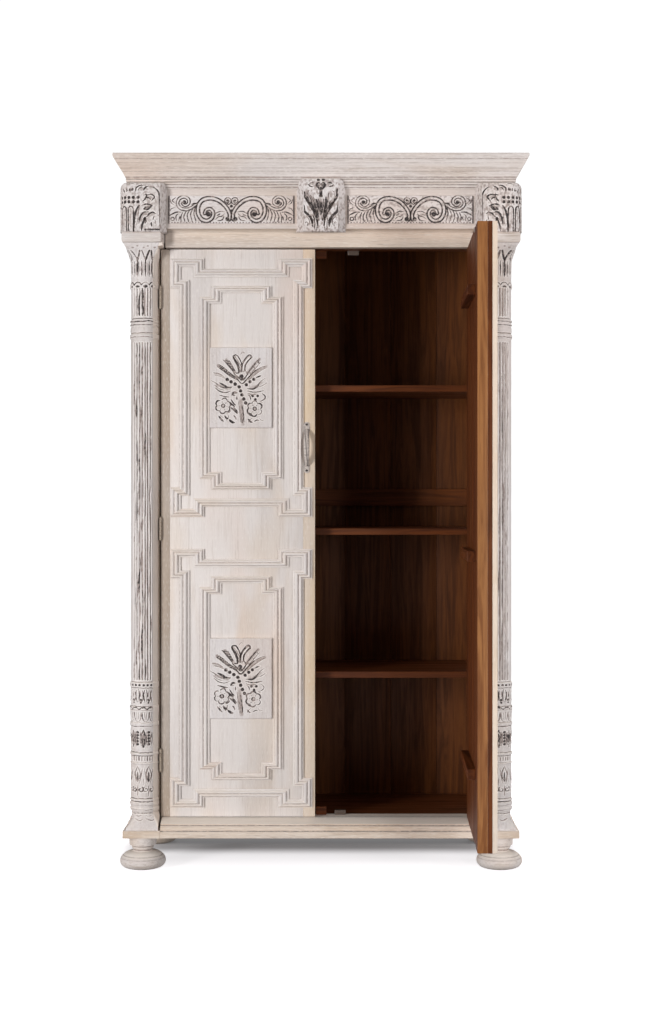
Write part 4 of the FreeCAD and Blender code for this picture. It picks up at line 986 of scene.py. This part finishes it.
def carve_column(face, strength):
    """Carved bands, drapery and leaf below, long flutes, rings, short flutes and the leafy bell."""
    for low, high, depth in ((*LONG_FLUTES, 2.6), (*SHORT_FLUTES, 2.2)):
        for k in FLUTES:
            carve_flute(face, (k - 0.35) * FLUTE_PITCH, low, high, depth, strength)
    for z, width, dark in COLUMN_RINGS:
        path = [(u, z + RNG.normal(0, 0.5)) for u in np.arange(-60, 62, 8)]
        face.cut(path, width, 1.0, dark, (0.2, 0.2))
    for k in range(-3, 4):
        face.mark(k * 22.6 - 4.0)
        # Bell: dark V, lens strokes and shell arcs with their sockets
        face.strokes(2.0, [(4.0, 0.9, (-9, 1856), (-5, 1842), (0, 1826)),
                           (4.0, 0.9, (9, 1856), (5, 1842), (0, 1826))], (0.3, 0.6))
        face.cut(face.spots((0, 1838), (0.5, 1800), (0, 1778)), 4.6, 2.2, 1.0, (0.8, 0.8))
        face.strokes(2.0, [(4.0, 0.9, (11, 1828), (11, 1778))], (0.8, 0.8))
        face.strokes(1.0, [(2.0, 0.5, (5.5, 1822), (5.5, 1782)), (2.0, 0.5, (-5.5, 1822), (-5.5, 1782))])
        face.cut(arc(face.spots((0, 1752))[0], 10.5, 8, 172), 3.0, 1.8, 0.9, (0.2, 0.2))
        face.strokes(2.4, [(6.5, 0.95, (-4, 1750), (4, 1750))], (0.3, 0.3))
        face.drill([(4, 1864), (-5, 1868)], 1.8, 1.0, 0.5)
        # Beads under the long flutes
        face.drill([(-6, 550), (5, 550)], 2.6, 1.6, 0.9)
        # Leaf strokes and dots
        face.strokes(1.6, [
            (3.0, 0.9, (-2, 538), (-5, 522), (-3, 500)), (3.2, 1.0, (3, 536), (6, 520), (2, 498)),
            (2.6, 0.8, (9, 534), (7, 516), (10, 500)), (2.4, 0.6, (-9, 532), (-8, 514)),
        ])
        face.drill([(-9, 506), (-9, 497), (12, 504)], 2.2, 1.6, 1.0)
        # Wavy ring and drapery arches
        face.strokes(1.6, [(3.0, 0.9, (-11, 482), (-4, 478), (4, 483), (11, 481))], (0, 0))
        face.strokes(1.4, [(2.6, 0.7, (-10, 470), (-9, 452), (-5, 442), (0, 440)),
                           (2.6, 0.8, (10, 470), (9, 452), (5, 442), (0, 440))])
        face.strokes(1.2, [(2.4, 0.6, (-3, 468), (-3, 446)), (2.4, 0.7, (3, 470), (2, 444))])
    for k in range(-2, 3):
        # Dotted columns with a leaf between them
        face.mark(k * 33.0 - 14.0)
        face.drill([(0, z) for z in (408, 399, 390, 381, 372)], 2.9, 2.0, 1.0)
        face.strokes(0.9, [(1.8, 0.5, (-5, 414), (-5, 362)), (1.8, 0.5, (5, 414), (5, 362))])
        face.strokes(1.8, [
            (3.2, 0.9, (16.5, 416), (21.5, 396), (17.5, 362)),
            (3.2, 0.9, (16.5, 416), (11.5, 396), (15.5, 362)), (4.0, 0.9, (16.5, 404), (16.5, 380)),
            (2.2, 0.9, (8.5, 410), (7.5, 384), (10.5, 366)),
            (2.2, 0.9, (24.5, 410), (25.5, 384), (22.5, 366)),
        ])
        # Darts, diamond with acanthus, swirls
        face.strokes(1.4, [(3.6, 0.6, (u, 333), (u, 320)) for u in (-12, -4, 4, 12)], (0.1, 1.0))
        face.strokes(1.8, [
            (3.4, 0.7, (0, 306), (-8, 284), (-3, 262)), (3.4, 0.7, (0, 306), (8, 284), (3, 262)),
            (4.4, 0.9, (0, 288), (0, 258)), (3.0, 0.6, (-14, 300), (-10, 276), (-4, 252)),
            (3.0, 0.6, (14, 300), (10, 276), (4, 252)), (2.4, 0.5, (16, 270), (15, 250)),
        ])
        for way in (-1, 1):
            start = 60 if way > 0 else 120
            swirl = arc(face.spots((way * 9, 236))[0], (8.5, 2.6), start, 60 - way * 400, 24)
            face.cut(swirl, 3.0, 1.8, 0.9, (0.2, 0.4))
        face.strokes(1.4, [(2.8, 0.6, (0, 248), (0, 216))])
        face.strokes(1.0, [(2.4, 0.5, (-12, 160), (0, 156), (12, 160)),
                           (2.8, 0.6, (-14, 148), (-6, 144), (10, 150))])


def column(name, node, side, strength):
    """Shaft with a flat back against the post, trimmed at the door, square where it meets its blocks."""
    z_line = np.concatenate([
        lines(COLUMN_LOW, LONG_FLUTES[0] + 10, COLUMN_GRID_STEP),
        lines(LONG_FLUTES[0] + 20, LONG_FLUTES[1] - 12, 9.0),
        lines(LONG_FLUTES[1] - 4, COLUMN_HIGH, COLUMN_GRID_STEP)])
    reach = math.radians(COLUMN_CARVED_DEGREES)
    u_line = lines(-reach * COLUMN_RADIUS, reach * COLUMN_RADIUS, 1.45)
    face = Carving(u_line, z_line, weight=1.45, hand=0.28)
    carve_column(face, strength)
    face.patina(0.16, across=2, along=8)
    face.worn(0.2)
    # Carving stops towards the door, where the wood is plain
    plain = np.clip((u_line / COLUMN_RADIUS + math.radians(48)) / math.radians(14), 0, 1)
    plain = plain * plain * (3 - 2 * plain)
    h = face.h * plain
    wax = weathered(h, face.wax * plain, 1.5, 0.45, 0.8, 0.15) * plain
    z = z_line[:, None]
    radius = COLUMN_RADIUS * np.interp(z, *np.transpose(COLUMN_OUTLINE))
    spread = COLUMN_RADIUS + FOOT_SPREAD * np.clip((SQUARE_FOOT_TOP - z) / 38, 0, 1) ** 1.4
    base = np.where(z > SQUARE_FOOT_TOP, radius, spread)
    angle = u_line / u_line[-1] * (math.pi / 2 + np.arcsin(-COLUMN_BACK / base))
    c, s = np.cos(angle), np.sin(angle)
    boxed = base / np.maximum(np.abs(c), np.abs(s))
    square = np.clip((SQUARE_FOOT_TOP - z) / 40, 0, 1) + np.clip((z - SQUARE_HEAD_FOOT) / 34, 0, 1)
    r = base + (boxed - base) * square + h
    # The outer half is broader, as the photograph's outline shows
    broad = 1 + OUTER_HALF_BROADER * np.clip((z - 150) / 30, 0, 1) * np.clip((1868 - z) / 30, 0, 1)
    x = COLUMN_X + r * s * np.where(s > 0, broad, 1)
    ahead = np.maximum(r * c, COLUMN_BACK)
    ahead[:, 0] = ahead[:, -1] = COLUMN_BACK
    # Over the door the block reaches in to the architrave
    x = np.maximum(x, np.where(z > DOOR_HIGH + 2.5, CAPITAL_INNER_X, COLUMN_INNER_X))
    ends = np.linspace(x[[0, -1], 0], x[[0, -1], -1], x.shape[1], axis=1)
    x = np.vstack([ends[:1], x, ends[1:]])
    ahead = np.pad(ahead, ((1, 1), (0, 0)), constant_values=COLUMN_BACK)
    points = at_rest(side * x, ahead, np.pad(z, ((1, 1), (0, 0)), "edge"))
    # The plain flank towards the door takes the pale tone: painted light where it lies in shade
    ids = np.tile(plain[:-1] < 0.5, len(x) - 1).astype(int).tolist() + [0]
    part = points, grid_faces(points, flip=side < 0), np.pad(wax, ((1, 1), (0, 0)), "edge")
    make_piece(name, "cabinet", node, [CARVED_MANGO, limed_mango("z", "pale")], [part],
               sharp=70, ids=ids)


column("right_carved_column", "column_right", 1, 0.65)
column("left_carved_column", "column_left", -1, 1.0)


# Base rail under the doors: three steps with dark lines in their corners, a top that slopes to shed dust, a
# painted shadow along the back of that top under the doors, and the plain core behind them

# (distance ahead of the doors, height, darkness: in the step corners, and painted shadow at the back under
# the doors)
RAIL_STEPS = np.array((
    (RAIL_SEAM, FOOT_TOP, 0.0), (60.5, FOOT_TOP, 0.1), (62.0, 95.5, 0.0), (62.0, 109.6, 0.0),
    (60.8, 112.2, 0.0), (58.5, 113.2, 0.15), (53.8, 113.4, 0.7), (53.0, 114.8, 0.55), (53.0, 116.6, 0.0),
    (53.0, 125.8, 0.0), (52.0, 128.1, 0.0), (50.0, 128.8, 0.2), (46.7, 129.2, 0.55), (46.0, 130.6, 0.5),
    (46.0, 132.4, 0.0), (45.2, 134.2, 0.0), (42.0, 135.8, 0.0), (15.0, 142.6, 0.0), (5.0, 145.2, 0.42),
    # Painted shadow at the back of the top, under the doors
    (0.0, 146.3, 0.85), (RAIL_SEAM, 146.3, 0.9),
))
RAIL_CORE = np.array(((RAIL_REAR, FOOT_TOP, 0.0), (RAIL_SEAM, FOOT_TOP, 0.0), (RAIL_SEAM, RAIL_TOP, 0.0),
                      (RAIL_REAR, RAIL_TOP, 0.0)))
parts = []
for outline, half_width in ((RAIL_STEPS, RAIL_HALF), (RAIL_CORE, RAIL_CORE_HALF)):
    points = at_rest([[-half_width], [half_width]], outline[:, 0], outline[:, 1])
    parts.append((points, grid_faces(points, True, flip=True), outline[:, 2]))
make_piece("stepped_base_rail", "cabinet", "base_front_rail", [limed_mango("x", "worn")],
           parts, sharp=30)


# Feet

def foot_outline():
    """Turned foot as (radius, height): scored bun, waist, bead and a tapered collar."""
    low = [(45 + 24 * math.sin(a), 20 - 20 * math.cos(a)) for a in np.radians(range(10, 91, 8))]
    high = [(27 + 42 * math.cos(a), 20 + 30 * math.sin(a)) for a in np.radians(range(6, 86, 5))]
    neck = [(29, 50.6), (27.5, 52), (27, 54), (28, 56), (31.5, 57.5), (33.5, 60), (33.5, 62), (31.5, 64.5),
            (31.5, 66), (36, 66.8), (39.5, 68), (40.5, 70.5), (40.5, 78), (41.5, 86), (42, 93),
            (41, FOOT_TOP), (0, FOOT_TOP)]
    return np.array([(0, 0), (45, 0)] + low + high + neck).T


def make_feet(name, node, ahead, sides, tone):
    """Feet with a scored line round the bun, wax in their lines, and a dark band round the bottom edge."""
    radius, z = foot_outline()
    scores = sum(dark * np.exp(-((z - at) / 1.6) ** 2)
                 for at, dark in ((38, 0.8), (30, 0.5), (53.5, 1.0), (65.5, 1.0), (2, 0.8)))
    radius = (radius - 1.2 * np.exp(-((z - 38) / 1.6) ** 2) * (radius > 20))[:, None]
    angles = round_the_circle(72)
    parts = []
    for side in sides:
        x = side * FOOT_X + radius * np.cos(angles)
        points = at_rest(x, ahead - radius * np.sin(angles), z[:, None])
        parts.append((points, grid_faces(points, True, closed=False), 0.7 * scores[:, None]))
    make_piece(name, "cabinet", node, [limed_mango("x", tone)], parts, sharp=40)


make_feet("turned_foot_right", "foot_front_right", FOOT_FRONT_AHEAD, (1,), "streaked")
make_feet("turned_foot_left", "foot_front_left", FOOT_FRONT_AHEAD, (-1,), "streaked")
# The rear feet take the darker tone: painted shade under the cabinet
make_feet("turned_rear_feet", "feet_rear", FOOT_REAR_AHEAD, (1, -1), "painted_shade")


# Cornice and bed moulding

def lengthwise(name, node, reach, profile, wax, base_z, segments, materials):
    """Moulding along the cabinet's right side (0), front (1) and left side (2), mitred at the corners."""
    half, front = BODY_HALF + reach, FACE_Y - FRIEZE_AHEAD - reach
    path = [(half, BACK_Y), (half, front), (-half, front), (-half, BACK_Y)]
    corners = swept_lines(path, [(out, out) for out, _ in profile], False)[segments[0]:segments[-1] + 2]
    heights = np.broadcast_to(base_z + profile[:, 1:], (len(corners), len(profile), 1))
    points = np.concatenate([corners, heights], -1) * MM
    ids = np.repeat([0 if k == 1 or len(materials) == 1 else 1 for k in segments], len(profile)).tolist()
    make_piece(name, "cabinet", node, materials,
               [(points, grid_faces(points, True, flip=True), wax)], sharp=35, ids=ids + [ids[0], ids[-1]])


CORNICE_SHARES = (
    (0.00, 0.00), (0.04, 0.02), (0.12, 0.10), (0.20, 0.17), (0.185, 0.185), (0.34, 0.30), (0.57, 0.49),
    (0.79, 0.68), (0.86, 0.735), (0.845, 0.75), (0.93, 0.80), (0.99, 0.87), (1.00, 0.96), (0.95, 1.00),
)
outline = np.array(CORNICE_SHARES) * (CORNICE_REACH, CORNICE_HEIGHT)
run = run_along(outline)
out, up = (softened(np.interp(lines(0, run[-1], 1.2), run, line)) for line in outline.T)
# Wax in the quirks, and thinly over the top lip
quirk = sum(dark * np.exp(-((up - z) / wide) ** 2) for z, dark, wide in (
    (51.0, 0.55, 1.1), (40.3, 0.22, 1.6), (26.5, 0.24, 1.8), (18.0, 0.28, 1.8), (12.4, 0.22, 1.3),
    (2.0, 0.50, 2.0)))
cornice_wax = np.append(np.maximum(quirk, 0.13 * (up > 53)), [0, 0])
cornice_profile = np.vstack([np.stack([out, up], -1), [(-CORNICE_SEAT, CORNICE_HEIGHT), (-CORNICE_SEAT, 0)]])
for k, (node, axis) in enumerate((("cornice_right", "y"), ("cornice_front", "x"), ("cornice_left", "y"))):
    lengthwise("moulded_" + node, node, BED_REACH, cornice_profile, cornice_wax, CORNICE_Z, [k],
               [limed_mango(axis, "streaked")])

reed = (BED_HEIGHT - 2 * BED_FOOT) / BED_REEDS
bed = [(0, 0), (BED_FOOT, 0), (BED_FOOT, BED_FOOT)]
for k in range(BED_REEDS):
    out = BED_FOOT + (BED_REACH - BED_FOOT) * k / BED_REEDS
    for a in np.radians(range(-75, 91, 15)):
        bed.append((out + 2.0 * math.cos(a), BED_FOOT + reed * (k + 0.5) + reed / 2 * math.sin(a)))
bed = np.array(bed + [(BED_REACH, BED_HEIGHT - BED_FOOT), (BED_REACH, BED_HEIGHT), (0, BED_HEIGHT)])
seams = BED_FOOT + reed * np.arange(BED_REEDS + 1)[:, None]
bed_wax = (0.5 * np.exp(-((bed[:, 1] - seams) / 1.3) ** 2)).max(0)
lengthwise("reeded_bed_moulding", "bed_moulding", 0, bed, bed_wax, BED_Z, [0, 1, 2],
           [limed_mango("x", "streaked"), limed_mango("y", "streaked")])


# Handle

def make_bow():
    """Cast bow, a flat oval with long leaves that turn slowly round it."""
    rise = HANDLE_CREST + HANDLE_SINK
    radius = (HANDLE_HALF_SPAN ** 2 + rise ** 2) / (2 * rise)
    half_turn = math.asin(HANDLE_HALF_SPAN / radius)
    turn = np.linspace(-half_turn * 0.86, half_turn * 0.86, 90)[:, None]
    round_ = round_the_circle(40)
    share = abs(turn) / half_turn
    groove = np.clip(np.cos(round_ * 4 + turn * 3.2 + 0.6), 0, 1) ** 3
    band = np.exp(-((share - 0.84) / 0.04) ** 2)
    cast = (1 - 0.16 * groove) * (1 + 0.10 * band)
    half_width, half_thickness = 8.8 - 2.6 * share ** 2, 5.0 - 1.0 * share
    reach = radius + half_thickness * cast * np.cos(round_)
    points = at_rest(HANDLE_X + half_width * cast * np.sin(round_),
                     HANDLE_CREST - radius + reach * np.cos(turn), HANDLE_Z + reach * np.sin(turn))
    part = points, grid_faces(points, True), 0.95 * groove + 0.3 * band
    make_piece("twisted_handle_bow", "left_door", "handle_bow", [limed_cast_iron], [part],
               sharp=60)


def make_handle_ends():
    """Two rounded tabs, domed, with a rim and a countersunk screw hole."""
    inset, height, dark = np.array((
        (0, 0, 0.3), (0, 1.6, 0.2), (0.8, 2.4, 0.0), (2.2, 3.0, 0.0), (3.4, 2.6, 0.5), (5.0, 2.9, 0.1),
        (9.0, 3.0, 0.0))).T[:, :, None]
    round_ = round_the_circle(48)
    r = TAB_RADIUS - inset
    parts = []
    for way in (-1, 1):
        straight = np.sign(np.sin(round_)) * TAB_HALF_STRAIGHT * (r / TAB_RADIUS)
        z = HANDLE_Z + way * TAB_AWAY + straight + r * np.sin(round_)
        points = at_rest(HANDLE_X + r * np.cos(round_), height, z)
        parts.append((points, grid_faces(points, True), dark))
    make_piece("handle_end_tabs", "left_door", "handle_ends", [limed_cast_iron], parts,
               sharp=50)


make_bow()
make_handle_ends()


# Boards with eased edges, and joints where they meet

def boards(name, body, node, materials, levels, across, place=at_rest, ease=1.2, tones=None):
    """Upright boards between the X lines in across. levels are (ahead, ahead, low, high).

    The last material is for their edges, and tones picks the faces' one for each board.
    """
    front, rear, low, high = levels
    parts, ids = [], []
    for k, (x0, x1) in enumerate(zip(across, across[1:])):
        board = bmesh.new()
        bmesh.ops.create_cube(board, size=1.0)
        size = np.array([x1 - x0, front - rear, high - low])
        middle = np.array([x0 + x1, front + rear, low + high]) / 2
        for vertex in board.verts:
            vertex.co = Vector(np.array(vertex.co) * size + middle)
        bmesh.ops.bevel(board, geom=board.edges[:], offset=ease, segments=2, profile=0.5, affect="EDGES")
        board.normal_update()
        board.verts.index_update()
        points = np.array([vertex.co for vertex in board.verts])
        # X, ahead and height are a left-handed set, so the faces turn over
        faces = [[vertex.index for vertex in reversed(one.verts)] for one in board.faces]
        parts.append((place(*points.T), faces, 0))
        face_tone, edge_tone = tones[k] if tones else 0, len(materials) - 1
        ids += [face_tone if abs(one.normal.y) > 0.5 else edge_tone for one in board.faces]
        board.free()
    make_piece(name, body, node, materials, parts, sharp=30, ids=ids)


for side, body, place, edge_x in DOORS:
    x0, x1 = sorted((side * DOOR_OUTER_X, edge_x))
    boards(body + "_inner_boards", body, body + "_core",
           [walnut_stained_mango("z", "mid"), walnut_stained_mango("z", "edge")],
           (CORE_FRONT, CORE_REAR, DOOR_LOW, DOOR_HIGH), np.linspace(x0, x1, 4), place)
    # The hinge stiles take the darker tone: painted shade where the columns shadow them
    boards(body + "_front_boards", body, body + "_face",
           [limed_mango("z", "painted_shade"), limed_mango("z", "plain"), limed_mango("z", "honey"),
            walnut_stained_mango("z", "mid")],
           (0, CORE_FRONT, DOOR_LOW, DOOR_HIGH),
           sorted([x0, x1, side * HINGE_STILE_X, side * CLOSING_STILE_X]), place, 0.5, (0, 1, 2)[::-side])
boards("back_planks", "cabinet", "back_boards", [walnut_stained_mango("z", "deep")],
       (BACK_FRONT, BACK_REAR, FOOT_TOP, BED_Z), np.linspace(-BACK_HALF, BACK_HALF, 8), ease=1.8)


# Finishes of the CAD's own solids

for names, material in (
    ("front_post_left front_post_right rear_posts right_closing_strip", limed_mango("z", "warm")),
    ("plinth_block_left plinth_block_right architrave", limed_mango("x", "worn")),
    ("frieze_boards", limed_mango("x", "cool")),
    ("base_side_mouldings", limed_mango("y", "worn")),
    ("side_rails top_board", limed_mango("y", "plain")),
    ("side_panels", limed_mango("z", "plain")),
    ("back_rails head_rail shelf_lower shelf_middle shelf_upper floor_board centre_stops left_door_battens",
     walnut_stained_mango("x", "mid")),
    ("right_door_battens shelf_cleats", walnut_stained_mango("y", "mid")),
    ("hinge_frame_leaves hinge_pins left_hinge_leaves right_hinge_leaves", painted_hinge_steel),
    ("left_strike_plates right_strike_plates", strike_steel),
    ("magnetic_catches", catch_plastic),
    ("handle_screws", blackened_screws),
):
    for name in names.split():
        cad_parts[name].data.materials.clear()
        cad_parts[name].data.materials.append(material)
for name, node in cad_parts.items():
    # The frieze boards meet each other, and their edges lie behind other pieces
    if not node.hide_render and name != "frieze_boards":
        small = name.startswith(("hinge", "left_hinge", "right_hinge", "handle")) or "strike" in name
        weld = node.modifiers.new("joined_corners", "WELD")
        weld.merge_threshold = 0.00002
        edges = node.modifiers.new("eased_edges", "BEVEL")
        edges.width = 0.0003 if small else 0.0014
        edges.segments = 2
        edges.limit_method = "ANGLE"
        edges.angle_limit = math.radians(40)
        edges.harden_normals = False


# Studio: pale floor, soft light, camera

def make_floor():
    """Pale matt studio floor that lifts gently towards white, with a painted shadow under the cabinet."""
    material, tree, shader = new_material("pale_studio_floor", 0.9, 1.4)
    place = add(tree, "TexCoord", output="Object")
    # Faint mottling of the paper, 17 mm across
    mottling = grain(tree, "x", 60.0, 60.0, 2.0)
    paper = wash(tree, linear("#CFCDCF"), mottling, 0.3, 0.7, 0.04, "#C6C4C6")
    # The sheet glows more and more towards its rim, where it is as white as the studio behind it, and glows
    # least
    # under the cabinet: a painted shadow
    away = add(tree, "VectorMath", (place,), "Value", operation="LENGTH")
    past = place
    for operation, vector in (("SUBTRACT", (0, 0.05, 0)), ("ABSOLUTE", None), ("SUBTRACT", (0.5, 0.21, 0.1)),
                              ("MAXIMUM", (0, 0, 0))):
        past = add(tree, "VectorMath", (past, vector) if vector else (past,), operation=operation)
    past = add(tree, "VectorMath", (past,), "Value", operation="LENGTH")
    # Painted shadow: under the cabinet the glow darkens from the front edge to the back
    back = add(tree, "SeparateXYZ", (place,), "Y")
    deep = (0.85, 0.85, 0.85, 1)
    for low, high, grey in ((-0.20, -0.02, 0.70), (-0.03, 0.10, 0.13)):
        share = add(tree, "MapRange", (back, low, high, 0.0, 1.0), **SOFT)
        deep = add(tree, "Mix", {0: share, 6: deep, 7: (grey, grey, grey, 1)}, 2, data_type="RGBA")
    # and a near-black colour on the strip under its back, a painted shadow where the lamp behind the cabinet
    # would light it
    strip = add(tree, "MapRange", (back, 0.12, 0.17, 0.0, 0.85), **SOFT)
    painted_shadow_share = add(tree, "MapRange", (past, 0.0, 0.03, strip, 0.0), **SOFT)
    colour = add(tree, "Mix", {0: painted_shadow_share, 6: paper, 7: linear("#0A0A0A")}, 2, data_type="RGBA")
    glow_with_painted_shadow = add(tree, "Math", (add(tree, "MapRange", (past, 0.0, 0.20, deep, 0.87), **SOFT),
                              add(tree, "MapRange", (away, 0.8, 2.4, 0.0, 0.26), **SOFT)), operation="ADD")
    feed(tree, shader, {"Base Color": colour, "Emission Color": (1.0, 0.985, 1.0, 1.0),
                        "Emission Strength": glow_with_painted_shadow, "Specular IOR Level": 0.1})
    rings = np.concatenate([[0.05], np.geomspace(0.3, 2.6, 10)])[:, None]
    angles = round_the_circle(64)
    points = np.stack(np.broadcast_arrays(rings * np.cos(angles), rings * np.sin(angles), -0.0005), -1)
    mesh = bpy.data.meshes.new("studio_floor")
    middle = [list(reversed(range(len(angles))))]
    mesh.from_pydata(points.reshape(-1, 3).tolist(), [], grid_faces(points, True, closed=False) + middle)
    mesh.materials.append(material)
    floor = bpy.data.objects.new("studio_floor", mesh)
    bpy.context.scene.collection.objects.link(floor)
    floor.visible_diffuse = False


def make_lights():
    for name, place, target, size, power in (
        ("key_softbox", (-4.2, -4.4, 1.15), (0, -0.2, 1.0), (0.95, 2.4), 270),
        ("fill_softbox", (2.7, -5.2, 1.15), (0, -0.2, 1.0), (1.05, 2.2), 100),
        ("side_softbox", (5.2, -2.3, 1.2), (0, -0.2, 1.0), (1.6, 2.4), 130),
        ("top_softbox", (0.2, -1.8, 4.6), (0, -0.6, 0), (3.0, 2.0), 17),
        ("rear_softbox", (0.6, 4.0, 4.4), (0, 0.2, 1.3), (2.6, 2.0), 210),
    ):
        light = bpy.data.lights.new(name, "AREA")
        light.shape = "RECTANGLE"
        light.size, light.size_y = size
        light.energy = power
        lamp = bpy.data.objects.new(name, light)
        lamp.location = place
        lamp.rotation_euler = (Vector(target) - Vector(place)).to_track_quat("-Z", "Y").to_euler()
        bpy.context.scene.collection.objects.link(lamp)
    world = bpy.data.worlds.new("white_studio")
    world.use_nodes = True
    tree = world.node_tree
    seen = add(tree, "LightPath", output="Is Camera Ray")
    strength = add(tree, "MapRange", (seen, 0.0, 1.0, 0.10, 1.05), **SOFT)
    feed(tree, tree.nodes["Background"], {"Color": (1, 1, 1, 1), "Strength": strength})
    bpy.context.scene.world = world
    bpy.context.scene.view_settings.view_transform = "Standard"
    bpy.context.scene.view_settings.look = "None"


def make_camera():
    """Camera straight in front, a little right of the middle, with the photograph's framing."""
    frame_height, horizon, focal_length, film = 1024.0, 496.7, 1602.0, 36.0
    data = bpy.data.cameras.new("front_camera")
    data.sensor_width = film
    data.lens = focal_length * film / frame_height
    data.shift_y = (horizon - frame_height / 2) / frame_height
    data.clip_end = 100
    camera = bpy.data.objects.new("front_camera", data)
    camera.location = (0.036, -5.015, 1.117)
    camera.rotation_euler = (math.radians(90), 0, 0)
    bpy.context.scene.collection.objects.link(camera)
    bpy.context.scene.camera = camera


make_floor()
make_lights()
make_camera()
